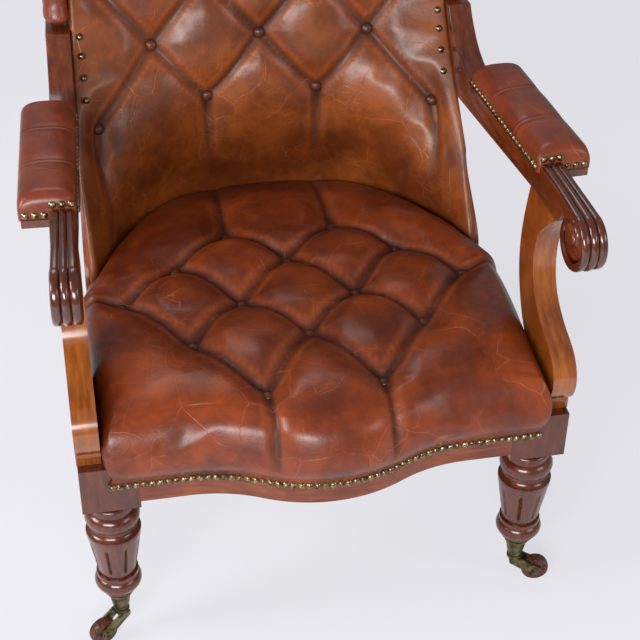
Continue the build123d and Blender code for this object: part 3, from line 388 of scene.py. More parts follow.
def aged_metal(name, base, dark, bright, rough, scale):
    """Cast or drawn brass, lacquer gone: dark oxide in blotches, brighter where it is rubbed."""
    material, shader = new_material(name)
    blotch = clouds(material, object_place(material), scale, 4.0, 0.6)["Fac"]
    tone = ramp(material, blotch, (0.34, colour(dark)), (0.52, colour(base)), (0.72, colour(bright)))
    shine = times_add(material, blotch, -0.3, rough + 0.15)
    feed(material, shader, {"Base Color": tone, "Metallic": 1.0, "Roughness": shine})
    bumped(material, shader, blotch, 0.25, 0.0003)
    return material


def layered_wheel(name, base, dark):
    """Leather washers pressed into a wheel: fibres of brown and near-black, rubbed dull."""
    material, shader = new_material(name)
    fibre = clouds(material, object_place(material), 300.0, 4.0)["Fac"]
    tone = ramp(material, fibre, (0.4, colour(dark)), (0.62, colour(base)))
    feed(material, shader, {"Base Color": tone, "Roughness": 0.42})
    bumped(material, shader, fibre, 0.4, 0.0005)
    return material


def woven_cloth(name, base, dark, thread):
    """Jute, plain woven: coarse crossing threads, dry and matt. thread is in metres."""
    material, shader = new_material(name)
    waves = {"Vector": object_place(material), "Scale": 0.5 / thread / math.tau * 2, "Distortion": 1.0}
    along, across = (
        add_node(material, "TexWave", waves, bands_direction=way).outputs["Fac"] for way in ("X", "Y")
    )
    weave = times(material, along, across)
    tone = ramp(material, weave, (0.0, colour(dark)), (0.6, colour(base)))
    feed(material, shader, {"Base Color": tone, "Roughness": 0.9})
    bumped(material, shader, weave, 0.5, 0.0006)
    return material


def bare_floor(name, tint, glow):
    """Paper sweep of the studio: plain and matt, and evenly bright where the camera sees it."""
    material, shader = new_material(name)
    feed(material, shader, {"Base Color": colour(tint), "Roughness": 0.6, "Specular IOR Level": 0.2})
    seen = add_node(material, "Emission", {"Color": colour(glow), "Strength": 1.0})
    share = times(material, add_node(material, "LightPath").outputs["Is Camera Ray"], 0.7)
    blend = add_node(material, "MixShader", {0: share, 1: shader.outputs["BSDF"], 2: seen.outputs["Emission"]})
    out = next(node for node in material.node_tree.nodes if node.type == "OUTPUT_MATERIAL")
    feed(material, out, {"Surface": blend.outputs[0]})
    return material


# Sizes and colours a user would change


def length(name, description, default):
    return bpy.props.FloatProperty(name=name, description=description, default=default, unit="LENGTH")


def hex_colour(name, description, default):
    return bpy.props.StringProperty(name=name, description=description, default=default)


class ChairSizes(bpy.types.PropertyGroup):
    """Sizes of the upholstery"""

    seat_button_depth: length("Seat button depth", "How far a seat button is drawn in", 0.030)
    seat_fold_depth: length("Seat fold depth", "Depth of a fold halfway between two seat buttons", 0.017)
    back_button_depth: length("Back button depth", "How far a back button is drawn in", 0.022)
    back_fold_depth: length("Back fold depth", "Depth of a fold halfway between two back buttons", 0.014)
    button_radius: length("Button radius", "Radius of a covered button", 0.008)
    cell: length("Cell", "Size of the cells that the leather is first drawn with", 0.006)
    pressure: bpy.props.FloatProperty(
        name="Stuffing pressure", description="Pressure under the leather", default=3.0
    )


class ChairColours(bpy.types.PropertyGroup):
    """Colours of the finishes, as sRGB hex values"""

    leather: hex_colour("Leather", "Brown of the dyed hide", "#67260b")
    leather_rub: hex_colour("Worn leather", "Red of the worn crowns", "#9f4414")
    # Dark brown of the dye's patches, and also the painted shade in the folds and round the buttons
    leather_dark_and_fold_shade: hex_colour("Leather in folds", "Wax in the folds", "#290c08")
    wood: hex_colour("Mahogany", "Middle tone of the wood", "#5f2710")
    wood_light: hex_colour("Light mahogany", "Light tone of the wood", "#8a4420")
    wood_dark: hex_colour("Dark mahogany", "Dark tone of the wood", "#2b0f08")
    floor: hex_colour("Floor", "Tint of the studio floor", "#eef0f6")


def sizes():
    return bpy.context.scene.chair_sizes


def colours():
    return bpy.context.scene.chair_colours


MATERIALS = {}


# Plan and heights shared by the leather pieces, in millimetres as in the joiner's drawing

RAIL_FRONT = -308.0
RAIL_BOW = 42.0
RAIL_BOW_HALF = 175.0
EDGE = 3.5


def serpentine(x):
    """Front of the rail, a serpentine of four equal arcs."""
    rise, run = RAIL_BOW / 2, RAIL_BOW_HALF / 2
    radius = (run * run + rise * rise) / (2 * rise)
    away = abs(x)
    if away >= RAIL_BOW_HALF:
        depth = 0.0
    elif away >= run:
        depth = radius - math.sqrt(radius**2 - (RAIL_BOW_HALF - away) ** 2)
    else:
        depth = RAIL_BOW - radius + math.sqrt(radius**2 - away**2)
    return RAIL_FRONT - depth


INNER_LEVELS = (323.0, 400.0, 470.0, 537.0, 590.0, 640.0, 700.0, 780.0, 860.0, 935.0)
INNER_HALF = (250.0, 258.0, 264.0, 264.0, 261.0, 259.0, 256.0, 252.0, 250.0, 246.0)
INNER_EDGE = (1.0, 2.0, 55.0, 110.0, 152.0, 186.0, 206.0, 228.0, 249.0, 268.0)
INNER_MIDDLE = (214.0, 212.0, 194.0, 188.0, 194.0, 203.0, 218.0, 239.0, 260.0, 279.0)
INNER_BEND = (3.5, 3.5, 2.7, 2.1, 2.0, 2.0, 2.0, 2.0, 2.0, 2.0)
OUTER_FOOT_X = (0.0, 57.0, 114.0, 170.0, 230.0, 247.0, 261.0, 272.0)
OUTER_FOOT_Y = (259.0, 255.0, 242.0, 218.0, 192.0, 144.0, 72.0, 1.0)
OUTER_FOOT_TOP = 372.0
OUTER_LEVELS = (485.0, 537.0, 590.0, 640.0, 700.0, 780.0, 860.0, 935.0)
OUTER_HALF = (268.0, 266.0, 262.0, 260.0, 256.0, 254.0, 254.0, 250.0)
OUTER_EDGE = (80.0, 132.0, 190.0, 234.0, 262.0, 288.0, 309.0, 327.0)
OUTER_MIDDLE = (272.0, 276.0, 284.0, 293.0, 307.0, 327.0, 347.0, 366.0)
OUTER_BEND = (3.0, 2.5, 2.3, 2.2, 2.0, 2.0, 2.0, 2.0)
HALF_STATIONS = tuple(k / 2 for k in range(8))
BACK_TOP = 935.0


def back_line(u, z, levels, halves, edges, middles, bends):
    """Point of a bowed profile at station u and height z."""
    half, edge, middle, bend = (smooth(z, levels, knots) for knots in (halves, edges, middles, bends))
    share = min(1.0, abs(u) / EDGE)
    return Vector((half * u / EDGE, middle - (middle - edge) * share**bend, z))


def back_inner(u, z):
    """Point of the inside of the back, before it is tufted."""
    return back_line(u, z, INNER_LEVELS, INNER_HALF, INNER_EDGE, INNER_MIDDLE, INNER_BEND)


def back_outer(u, z):
    """Point of the outside back: at its foot it follows the rails, higher up its own bow."""
    high = back_line(u, z, OUTER_LEVELS, OUTER_HALF, OUTER_EDGE, OUTER_MIDDLE, OUTER_BEND)
    foot_x = math.copysign(smooth(abs(u), HALF_STATIONS, OUTER_FOOT_X), u)
    low = Vector((foot_x, smooth(abs(u), HALF_STATIONS, OUTER_FOOT_Y), z))
    return low.lerp(high, ease((z - OUTER_FOOT_TOP) / (OUTER_LEVELS[0] - OUTER_FOOT_TOP)))


def back_place(u, z, share):
    """Point between the inside of the back and its outside."""
    return back_inner(u, z).lerp(back_outer(u, z), share)


# Tufting: buttons at whole stations, folds from each to its diagonal neighbours


def tuft_folds(buttons, straight):
    """The straight folds and those from each button to its neighbours in the next row."""
    folds = list(straight)
    for u, v in buttons:
        folds += [((u, v), (u + s, v + 1)) for s in (-1, 1) if (u + s, v + 1) in buttons]
    return folds


def distance_to(u, v, fold):
    """How far a station and row lie from the line of a fold."""
    (u0, v0), (u1, v1) = fold
    du, dv = u1 - u0, v1 - v0
    t = max(0.0, min(1.0, ((u - u0) * du + (v - v0) * dv) / (du * du + dv * dv)))
    return math.hypot(u - u0 - t * du, v - v0 - t * dv)


# Reach of a button's pull and of its wide cone in stations, and the cone's share of the depth
PULL_REACH, CONE_REACH, CONE_SHARE = 0.75, 0.62, 0.35


def tuft(u, v, buttons, folds, button_depth, fold_depth):
    """How far the leather is drawn in, and how near a fold it lies, from 0 to 1."""
    near_fold = min(distance_to(u, v, fold) for fold in folds)
    near_button = min(math.hypot(u - p, v - q) for p, q in buttons)
    away = min(1.0, near_fold / math.sqrt(0.5))
    puff = math.sqrt(max(0.0, 1 - (1 - away) ** 2)) ** 0.9
    pulled = (1 - ease(near_button / PULL_REACH)) ** 1.2
    depth = fold_depth + (button_depth - fold_depth) * pulled
    # A wide soft cone round each button, as the twine draws the whole hide down
    cone = CONE_SHARE * button_depth * (1 - ease(near_button / CONE_REACH))
    return depth * (1 - puff) + cone * puff, near_fold, near_button


BACK_ROWS = (372.0, 537.0, 622.0, 707.0, 792.0, 872.0)
BACK_BUTTONS = [(u, v) for v in range(1, 6) for u in range(-3, 4) if (u + v) % 2 == 0]
BACK_FOLDS = tuft_folds(BACK_BUTTONS, [((u, 1), (u, -1)) for u in (-3, -1, 1, 3)])
SEAT_BUTTON_ROWS = ((-1, 1), (-2, 0, 2), (-3, -1, 1, 3), (-2, 0, 2), (-1, 1))
SEAT_BUTTONS = [(u, v) for v, row in enumerate(SEAT_BUTTON_ROWS, 1) for u in row]
SEAT_STRAIGHT = [((u, v), (u + du, v + dv)) for u, v, du, dv in (
    (-1, 1, 0, -2), (1, 1, 0, -2), (-3, 3, -2, 0), (3, 3, 2, 0), (-1, 5, 0, 1), (1, 5, 0, 1)
)]
SEAT_FOLDS = tuft_folds(SEAT_BUTTONS, SEAT_STRAIGHT)

# Seat: rows of the top, and the rings that go down its sides and front
SEAT_ROW_YS = (-280.0, -171.0, -97.0)
SEAT_THIRD_BEND = 3.4
SEAT_SHARES = (0.30, 0.53)
CREASE_LEVEL, CREASE_GAP = 345.0, 2.0
SEAT_CROWN = 412.0
RING_HEIGHTS = (396.0, 383.0, 366.0, 350.0, 336.0, 323.5, 312.0, 301.0, 291.0)
SIDE_REACHES = (0.0, 11.0, 18.0, 20.5, 19.0, 14.0, 14.0, 14.0, 14.0)
FRONT_REACHES = (-8.0, 9.0, 19.0, 24.5, 25.0, 20.5, 12.0, 3.9, 3.4)
FOOT_RING = 5.0
LAST_RING = 8.0
RING_STEP = 4.0
SEAT_HALF_WIDTHS = (256.0, 258.0, 263.0, 267.0, 267.0, 262.0, 254.0)
SEAT_ROLL = 70.0
SPREAD_RING = 3.0
CORNER_ROUNDING = 0.9
# Half width over the corner blocks, how much it narrows with each ring, and the end of the bowed rail
BLOCKS_X, BLOCKS_STEP, RAIL_END_X = 272.5, 2.2, 268.0
SEAT_EDGE_STATIONS = (0.0, 2.4, 3.1, 3.5)
SEAT_EDGE_HEIGHTS = (SEAT_CROWN, SEAT_CROWN - 3, SEAT_CROWN - 9, RING_HEIGHTS[0])
SEAT_REAR_ROWS = (0.0, 4.6, 5.2, 5.6, 6.0)
SEAT_REAR_DROPS = (0.0, 0.0, 4.0, 13.0, 34.0)


def seat_y(u, v, front_y):
    """Depth of a row at station u, from the front edge to the crease under the back."""
    third = SEAT_ROW_YS[2] + SEAT_THIRD_BEND * u * u
    crease = back_inner(u, CREASE_LEVEL).y - CREASE_GAP
    fourth, fifth = (third + (crease - third) * share for share in SEAT_SHARES)
    return smooth(v, range(7), (front_y, *SEAT_ROW_YS[:2], third, fourth, fifth, crease))


def seat_base_point(u, v, s, f):
    """Point of the untufted seat: s and f count rings down its side and front."""
    ring = max(s, f)
    reach = smooth(v, range(7), SEAT_HALF_WIDTHS) + smooth(ring, range(9), SIDE_REACHES)
    x = (reach - (ring - s) * RING_STEP) * u / EDGE
    lower = max(0.0, (f - SPREAD_RING) / (LAST_RING - SPREAD_RING))
    # Below the roll the leather spreads square to the corners of the blocks
    square = (BLOCKS_X - (FOOT_RING - s) * BLOCKS_STEP) * u / EDGE
    x += (square - x) * ease(lower)
    front_y = serpentine(min(abs(x), RAIL_END_X)) - smooth(ring, range(9), FRONT_REACHES)
    corner = min(s, f) * CORNER_ROUNDING * (1 - lower)
    if corner > 0:
        x -= math.copysign(corner, u)
    if v <= 0:
        y = front_y + (ring - f) * RING_STEP + corner
    else:
        y = seat_y(u, v, front_y + ring * RING_STEP + corner)
    top_side = smooth(abs(u), SEAT_EDGE_STATIONS, SEAT_EDGE_HEIGHTS)
    # The front rolls up from its edge, wherever the bow of the rail puts it
    roll = min(1.0, max(0.0, y - front_y) / SEAT_ROLL)
    front_drop = (SEAT_CROWN - RING_HEIGHTS[0]) * (1 - math.sin(math.pi / 2 * roll))
    rear_drop = smooth(v, SEAT_REAR_ROWS, SEAT_REAR_DROPS)
    top = SEAT_CROWN - math.hypot(SEAT_CROWN - top_side, front_drop, rear_drop)
    z = top if ring <= 0 else min(top, smooth(ring, range(9), RING_HEIGHTS))
    return Vector((x, y, z))


class CHAIR_OT_materials(bpy.types.Operator):
    """Makes the finishes of the chair"""

    bl_idname = "chair.materials"
    bl_label = "Finishes"

    def execute(self, context):
        c = colours()
        hide = (c.leather, c.leather_rub, c.leather_dark_and_fold_shade)
        MATERIALS.update({
            "leather": leather_material("Aniline leather, waxed", *hide),
            # Painted light: the inside back gets a lighter, more orange copy of the hide, as the lamps fall on it
            # more than on the seat
            "back leather": leather_material("Aniline leather, faded", "#70330f", "#a2541f", "#32120a"),
            "plain leather": leather_material("Aniline leather, flat cover", *hide, folded=False),
            "red leather": leather_material("Aniline leather, worn red", "#76301b", "#9c4526", c.leather_dark_and_fold_shade),
            # The buttons: a darker brown than the hide, made darker still as painted shade for the seat buttons
            # that sit deep in their pits
            "button leather": leather_material(
                "Aniline leather, rubbed dark", "#4a1e12", "#6e3018", c.leather_dark_and_fold_shade, folded=False, crackle=0.2
            ),
            "legs": polished_wood("Mahogany, turned and polished", "#54200f", "#7c3a1c", "#220b06", (4, 4, 0.7)),
            # Painted light: the rails get a lighter, more orange mahogany than the legs, for the front rail that
            # the lamps light brightly
            "rails": polished_wood(
                "Mahogany, sawn rail", "#702f15", "#a5552a", "#260d07", (0.8, 6, 6), rough=0.4, coat=0.3
            ),
            "arms": polished_wood(
                "Mahogany, carved and polished", c.wood, c.wood_light, c.wood_dark, (5, 0.7, 2.5)
            ),
            "reeds": polished_wood(
                "Mahogany, reeded and polished", "#4a1c10", "#71341a", "#1c0805", (6, 2, 2), rough=0.2, coat=0.8
            ),
            "supports": polished_wood(
                "Mahogany, bleached by light", "#8a4414", "#b96d2a", "#40180a", (5, 0.9, 0.7), rough=0.2, coat=0.8
            ),
            "beech": raw_wood("Beech, sawn", "#b08a5a", "#8a6638"),
            "nails": aged_metal("Brass nails, aged", "#8c7856", "#382c1f", "#cdbd9b", 0.3, 240.0),
            "casters": aged_metal("Cast brass, oxidised", "#746949", "#38352a", "#9c9164", 0.42, 120.0),
            "steel": aged_metal("Spring steel, coppered", "#8a6a52", "#46352a", "#b08a6a", 0.45, 180.0),
            "wheels": layered_wheel("Leather washers, pressed", "#6e3620", "#241009"),
            "webbing": woven_cloth("Jute webbing, woven", "#b59b6a", "#6f5a36", 0.004),
            "hessian": woven_cloth("Hessian, woven", "#a98f63", "#6b5736", 0.0025),
            "floor": bare_floor("Paper sweep, matt", c.floor, "#f0eff6"),
        })
        return {"FINISHED"}


CORNERS = ("front_left", "front_right", "rear_left", "rear_right")
DRESSED = {
    "legs": ("front_leg_left", "front_leg_right", "rear_leg_left", "rear_leg_right"),
    "rails": ("front_rail", "side_rail_left", "side_rail_right", "back_rail"),
    "arms": ("arm_board_left", "arm_board_right"),
    "supports": ("arm_support_left", "arm_support_right"),
    "beech": ("corner_blocks", "back_stile_left", "back_stile_right", "crest_rail", "stuffing_rail"),
    "nails": ("rail_nails", "pad_nails_left", "pad_nails_right", "back_edge_nails"),
    "webbing": ("seat_webbing",),
    "hessian": ("seat_hessian",),
    "steel": ("seat_springs",),
    "casters": tuple(f"caster_{part}_{c}" for part in ("cup", "horn", "axle") for c in CORNERS),
    "wheels": tuple(f"caster_wheel_{c}" for c in CORNERS),
}


class CHAIR_OT_frame(bpy.types.Operator):
    """Gives the wood, brass and platform of the frame their finishes"""

    bl_idname = "chair.frame"
    bl_label = "Wood, brass and platform"

    def execute(self, context):
        for key, nodes in DRESSED.items():
            for name in nodes:
                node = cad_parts[name]
                node.data.materials.clear()
                node.data.materials.append(MATERIALS[key])
                for polygon in node.data.polygons:
                    polygon.material_index = 0
                smooth_shade(node, 35)
        return {"FINISHED"}


def close_under(obj, moves):
    """Extrudes the open rim once for each move, which gives a corner its new place."""
    active(obj)
    bpy.ops.object.mode_set(mode="EDIT")
    select_rim()
    for move in moves:
        bpy.ops.mesh.extrude_region_move()
        bpy.ops.object.mode_set(mode="OBJECT")
        for vertex in obj.data.vertices:
            if vertex.select:
                vertex.co = move(vertex.co)
        bpy.ops.object.mode_set(mode="EDIT")
    bpy.ops.object.mode_set(mode="OBJECT")


def close_behind(obj, across, along, rear_place):
    """Joins the piece to a rear of the same cells, and bridges the two rims."""
    rear = shape_grid(add_grid(obj.name + "_rear", across, along), rear_place)
    edit(rear, bpy.ops.mesh.flip_normals)
    join(obj, [rear])
    edit(obj, select_rim, bpy.ops.mesh.bridge_edge_loops)


def held_points(obj, marks, count):
    """How firmly each vertex is held: folds, buttons and rims hold, the crowns are free."""
    held = []
    for index in range(len(obj.data.vertices)):
        if index >= count:
            held.append(1.0)
            continue
        fold, button, left = marks[index]
        rim = 1 - ease((left - 0.25) / 0.5)
        held.append(max(rim, 1 - ease((fold - 0.02) / 0.06), 1 - ease((button - 0.18) / 0.1)))
    return held


def keep_marks(obj, marks):
    """Stores the painted shade, the wear and the ridges of the hide at each vertex."""
    extra = [0.0] * (len(obj.data.vertices) - len(marks))
    # Painted shade, darkest in the bottom of a fold, and in a wider pool round each button
    dark = [m[2] * min(1.0, math.exp(-m[0] * 24.0) + 0.9 * math.exp(-m[1] * 9.0)) for m in marks]
    store(obj, "fold", dark + extra)
    store(obj, "crown", [m[2] * ease((m[0] - 0.1) / 0.4) * ease(m[1] / 0.5) for m in marks] + extra)
    store(obj, "ridge", [m[2] * math.exp(-(((m[0] - 0.13) / 0.045) ** 2)) for m in marks] + extra)


# Stiff hide, pinned where it is held, and a little larger than it was cut
HIDE = {
    "quality": 6, "mass": 0.4, "tension_stiffness": 25, "compression_stiffness": 25, "shear_stiffness": 12,
    "bending_stiffness": 6.0, "vertex_group_mass": "held", "pin_stiffness": 1.0, "use_pressure": True,
    "shrink_min": -0.003,
}
SWELL_FRAMES = 20
SWELL_LIMIT = 0.005


def puff_up(obj, held, pressure):
    """Lets the hide swell over its stuffing between the held folds, at most by SWELL_LIMIT."""
    start = [vertex.co.copy() for vertex in obj.data.vertices]
    group = obj.vertex_groups.new(name="held")
    for index, weight in enumerate(held):
        if weight > 0:
            group.add([index], weight, "REPLACE")
    active(obj)
    cloth = obj.modifiers.new("Cloth", "CLOTH")
    for key, value in HIDE.items():
        setattr(cloth.settings, key, value)
    cloth.settings.uniform_pressure_force = pressure
    cloth.settings.effector_weights.gravity = 0
    cloth.point_cache.frame_start = 1
    cloth.point_cache.frame_end = SWELL_FRAMES
    for step in range(1, SWELL_FRAMES + 1):
        bpy.context.scene.frame_set(step)
    active(obj)
    bpy.ops.object.modifier_apply(modifier=cloth.name)
    bpy.context.scene.frame_set(1)
    for vertex, place in zip(obj.data.vertices, start):
        move = vertex.co - place
        if move.length > SWELL_LIMIT:
            vertex.co = place + move.normalized() * SWELL_LIMIT
    obj.vertex_groups.clear()


def tufted(obj, coordinates, base, buttons, folds, depths, fade):
    """Shapes a grid into tufted leather, and returns fold, button and fade of each vertex.

    coordinates gives the station, row and rings of a grid place, base the untufted point
    there, and fade its place between the buttons and how much of the tufting is left."""
    step = 0.004
    marks, places = [], []
    for vertex in obj.data.vertices:
        x, y = vertex.co.x, vertex.co.y
        here = base(*coordinates(x, y))
        side = base(*coordinates(x + step, y)) - base(*coordinates(x - step, y))
        rise = base(*coordinates(x, y + step)) - base(*coordinates(x, y - step))
        normal = side.cross(rise).normalized()
        u, v, left = fade(x, y)
        drop, fold, button = tuft(u, v, buttons, folds, depths[0] / MM, depths[1] / MM)
        ripple = noise.noise(Vector((u * 1.6, v * 1.6, 3.7))) * 1.3
        ripple += noise.noise(Vector((u * 5, v * 5, 9.1))) * 0.2
        places.append((here - normal * (drop * left) + normal * ripple * left) * MM)
        marks.append((fold, button, left))
    for vertex, place in zip(obj.data.vertices, places):
        vertex.co = place
    obj.data.update()
    return marks


# The seat's hide in metres, its sides and front in stations, and its last row
SEAT_HIDE = (0.66, 0.70)
SIDE_SPAN, FRONT_SPAN = 1.2, 1.9
RING_STATIONS = 0.22
LAST_ROW = 6.0
OVER_RAIL = 0.0011
# Leather along a side rail: the rail's ends and faces there, and the leather's lower edge and height
BORDER_ENDS, RAIL_FACES = (-237.4, -1.6), (262.0, 256.0)
BORDER_LOW, BORDER_HIGH, BORDER_PROUD = 290.5, 31.3, 4.1


class CHAIR_OT_seat(bpy.types.Operator):
    """Makes the buttoned seat and its front border from one hide"""

    bl_idname = "chair.seat"
    bl_label = "Seat leather"

    def execute(self, context):
        s = sizes()
        seat = add_grid("seat_leather", *(int(span / s.cell) for span in SEAT_HIDE))

        def coordinates(x, y):
            """Grid place to station, row, side ring and front ring."""
            c = x * (EDGE + SIDE_SPAN)
            side = max(0.0, abs(c) - EDGE) / SIDE_SPAN * FOOT_RING
            r = (y + 1) / 2 * (LAST_ROW + FRONT_SPAN) - FRONT_SPAN
            front = max(0.0, -r) / FRONT_SPAN * LAST_RING
            return max(-EDGE, min(EDGE, c)), max(0.0, r), side, front

        def fade(x, y):
            """The tufts fade out down the sides and the front, and soften at the edge and the crease."""
            u, v, side, front = coordinates(x, y)
            wide_u = u + math.copysign(side * RING_STATIONS, u) if side else u
            wide_v = v - front * RING_STATIONS
            left = (1 - ease((side - 1.0) / 3.5)) * (1 - ease((front - 1.5) / 5.0))
            left *= 1 - ease((abs(u) - 3.1) / 0.4) * 0.55
            left *= 1 - ease((v - 5.4) / 0.6) * 0.7
            return wide_u, wide_v, left

        depths = (s.seat_button_depth, s.seat_fold_depth)
        marks = tufted(seat, coordinates, seat_base_point, SEAT_BUTTONS, SEAT_FOLDS, depths, fade)
        top_count = len(seat.data.vertices)

        def turn_in(co):
            """Turns the lower edge in, behind the nails."""
            return Vector((co.x * 0.984, co.y + 0.0045 if co.y < 0 else co.y - 0.002, co.z))

        def lift(co):
            """Brings the edge up to the top of the rails."""
            return Vector((co.x, co.y, RAIL_TOP + OVER_RAIL))

        close_under(seat, [turn_in, lift])
        outward(seat)
        puff_up(seat, held_points(seat, marks, top_count), s.pressure)
        keep_marks(seat, marks)
        subdivide(seat)
        fill_rim(seat)
        smooth_shade(seat)
        finish_piece(seat, MATERIALS["leather"], ("seat_cushion", "seat_border"))
        finish_piece(self.side_bands(), MATERIALS["plain leather"])
        return {"FINISHED"}

    def side_bands(self):
        """Leather nailed along each side rail, under the seat."""
        band = add_grid("side_border_leather", 60, 12)

        def place(x, y):
            along, across = (x + 1) / 2, (y + 1) / 2
            out = between(along, (0.0, 1.0), RAIL_FACES) + BORDER_PROUD + math.sin(math.pi * across) * 0.8
            return Vector((out, between(along, (0.0, 1.0), BORDER_ENDS), BORDER_LOW + across * BORDER_HIGH)) * MM

        shape_grid(band, place)
        apply_modifier(band, "SOLIDIFY", thickness=0.003, offset=-1)
        apply_modifier(band, "MIRROR", use_axis=(True, False, False), use_clip=False, use_mirror_merge=False)
        outward(band)
        smooth_shade(band, 50)
        return band


# The back's hide in metres, its lower edge, and the share of it that rolls over the crest
BACK_HIDE = (0.58, 0.68)
BACK_LOW = 323.5
CREST_SHARE = 0.13
CREST_STEPS = (0.0, 0.2, 0.5, 0.8, 1.0)
CREST_SHARES = (0.0, 0.14, 0.5, 0.86, 1.0)
CREST_RISES = (0.0, 14.0, 21.0, 14.0, 2.0)
# Height of a row below the lowest button and above the top one
LOW_ROW, HIGH_ROW = 165.0, 85.0
# Share of the back's thickness by which the stuffing is deeper at its sides
REAR_EDGE = 0.43


class CHAIR_OT_back(bpy.types.Operator):
    """Makes the buttoned inside back, rolled over its crest"""

    bl_idname = "chair.back"
    bl_label = "Back leather"

    def execute(self, context):
        s = sizes()
        cells = [int(span / s.cell) for span in BACK_HIDE]
        back = add_grid("back_leather", *cells)

        def coordinates(x, y):
            """Grid place to station, height, and share of the way over the crest."""
            t = (y + 1) / 2
            if t <= 1 - CREST_SHARE:
                return x * EDGE, BACK_LOW + (BACK_TOP - BACK_LOW) * t / (1 - CREST_SHARE), 0.0
            return x * EDGE, BACK_TOP, (t - 1 + CREST_SHARE) / CREST_SHARE

        def base(u, z, over):
            if over <= 0:
                return back_inner(u, z)
            place = back_place(u, BACK_TOP, smooth(over, CREST_STEPS, CREST_SHARES))
            return Vector((place.x, place.y, BACK_TOP + smooth(over, CREST_STEPS, CREST_RISES)))

        def fade(x, y):
            """The tufts fade out at the sides, over the crest and down to the seat."""
            u, z, over = coordinates(x, y)
            v = between(z, BACK_ROWS, range(6))
            if z < BACK_ROWS[0]:
                v = (z - BACK_ROWS[0]) / LOW_ROW
            if z > BACK_ROWS[-1]:
                v = 5 + (z - BACK_ROWS[-1]) / HIGH_ROW + over
            left = 1 - ease((abs(u) - 3.05) / 0.45)
            left *= ease((z - 400.0) / 120.0) * (1 - ease(over / 0.25))
            left *= 1 - ease((v - 5.3) / 0.6)
            return u, v, left

        depths = (s.back_button_depth, s.back_fold_depth)
        marks = tufted(back, coordinates, base, BACK_BUTTONS, BACK_FOLDS, depths, fade)
        top_count = len(back.data.vertices)

        def rear(x, y):
            """The hidden rear of the stuffing, against the outside back."""
            u, z, over = coordinates(x, y)
            edge = REAR_EDGE * ease((abs(u) - 3.2) / 0.3)
            if over <= 0:
                return back_place(u, z, 0.5 + edge) * MM
            place = back_place(u, BACK_TOP, 0.5 + edge + (0.5 - edge) * over)
            return Vector((place.x, place.y, BACK_TOP + 0.8)) * MM

        close_behind(back, *cells, rear)
        outward(back)
        puff_up(back, held_points(back, marks, top_count), s.pressure)
        keep_marks(back, marks)
        subdivide(back)
        smooth_shade(back)
        finish_piece(back, MATERIALS["back leather"], ("back_cushion",))
        return {"FINISHED"}


# Lower edge of the outside back, and the side rolls: heights, middle, half width and rounded top
COVER_LOW = 290.0
ROLL_LOW, ROLL_HIGH = 660.0, 948.0
ROLL_X, ROLL_HALF = 272.3, 17.0
ROLL_CAP = 23.0
ROLL_POWER = 0.75


class CHAIR_OT_outside(bpy.types.Operator):
    """Makes the plain leather of the outside back and the rolls at its sides"""

    bl_idname = "chair.outside"
    bl_label = "Outside back and side rolls"

    def execute(self, context):
        cover = add_grid("outside_back_leather", 70, 80)

        def place(x, y):
            z = COVER_LOW + (BACK_TOP - COVER_LOW) * (y + 1) / 2
            point = back_outer(x * EDGE, max(z, INNER_LEVELS[0]))
            return Vector((point.x, point.y, z)) * MM

        shape_grid(cover, place)
        apply_modifier(cover, "SOLIDIFY", thickness=0.005, offset=1)
        outward(cover)
        smooth_shade(cover, 40)
        finish_piece(cover, MATERIALS["plain leather"], ("outside_back",))
        for side, word in SIDES:
            roll = self.side_roll(side, word)
            finish_piece(roll, MATERIALS["red leather"], (f"back_roll_{word}",))
        return {"FINISHED"}

    def side_roll(self, side, word):
        """Stuffed roll down the side of the back, gathered in small folds."""
        roll = add_grid(f"side_roll_{word}", 48, 90)
        cap_z = ROLL_HIGH - ROLL_CAP

        def place(x, y):
            t = (y + 1) / 2
            z = ROLL_LOW + (ROLL_HIGH - ROLL_LOW) * t
            level = min(z, BACK_TOP)
            front = between(level, INNER_LEVELS, INNER_EDGE) - 8.0
            rear = between(level, OUTER_LEVELS, OUTER_EDGE)
            angle = math.pi * (x + 1)
            close = math.sqrt(max(0.0, 1 - ((z - cap_z) / ROLL_CAP) ** 2)) if z > cap_z else 1.0
            close = min(close, ease((z - ROLL_LOW) / 10.0) * 0.4 + 0.6)
            gather = 1.0 + 0.03 * math.sin(t * 60 + math.sin(angle) * 1.4)
            dx = rounded(math.cos(angle), ROLL_POWER) * ROLL_HALF * close * gather
            dy = rounded(math.sin(angle), ROLL_POWER) * (rear - front) / 2 * close * gather
            return Vector((side * (ROLL_X + dx), (front + rear) / 2 + dy, z)) * MM

        weld(shape_grid(roll, place), 0.0002)
        store(roll, "crown", [0.4] * len(roll.data.vertices))
        smooth_shade(roll)
        return roll


# Arms turn in towards the back, so their pieces are drawn in the plane of the arm

ARM_FRONT = (299.0, -332.0)
ARM_BACK = (273.4, 190.0)
ARM_TURN = math.atan2(ARM_FRONT[0] - ARM_BACK[0], ARM_BACK[1] - ARM_FRONT[1])
PAD_FRONT_Y, PAD_BACK_Y = -186.0, 72.0
PAD_SEAT = ((PAD_FRONT_Y, PAD_BACK_Y), (594.0, 582.0))
BOARD = 10.0
PAD_POWER = 0.7
PAD_MIDDLE, PAD_HALF, PAD_HEIGHT = 17.0, 34.5, 33.0
# Reach along the pad of a seam's welt, of the groove round it, and of the wide dip there
SEAM_REACHES = (0.007, 0.022, 0.08)
# Disc and eye of the scroll: radius and half width in millimetres, and rounding in metres
DISC, EYE = (25.0, 14.0, 0.0008), (7.0, 16.6, 0.003)


def arm_point(across, y, z, side):
    """Place in metres of a point drawn on the arm: across it, along it and up."""
    along = y - ARM_FRONT[1]
    x = ARM_FRONT[0] + across * math.cos(ARM_TURN) - along * math.sin(ARM_TURN)
    return Vector((side * x, ARM_FRONT[1] + across * math.sin(ARM_TURN) + along * math.cos(ARM_TURN), z)) * MM


SCROLL_Y, SCROLL_Z, SCROLL_R = -299.0, 584.0, 34.0
REED_CELLS = 10
EDGE_CELLS = 6
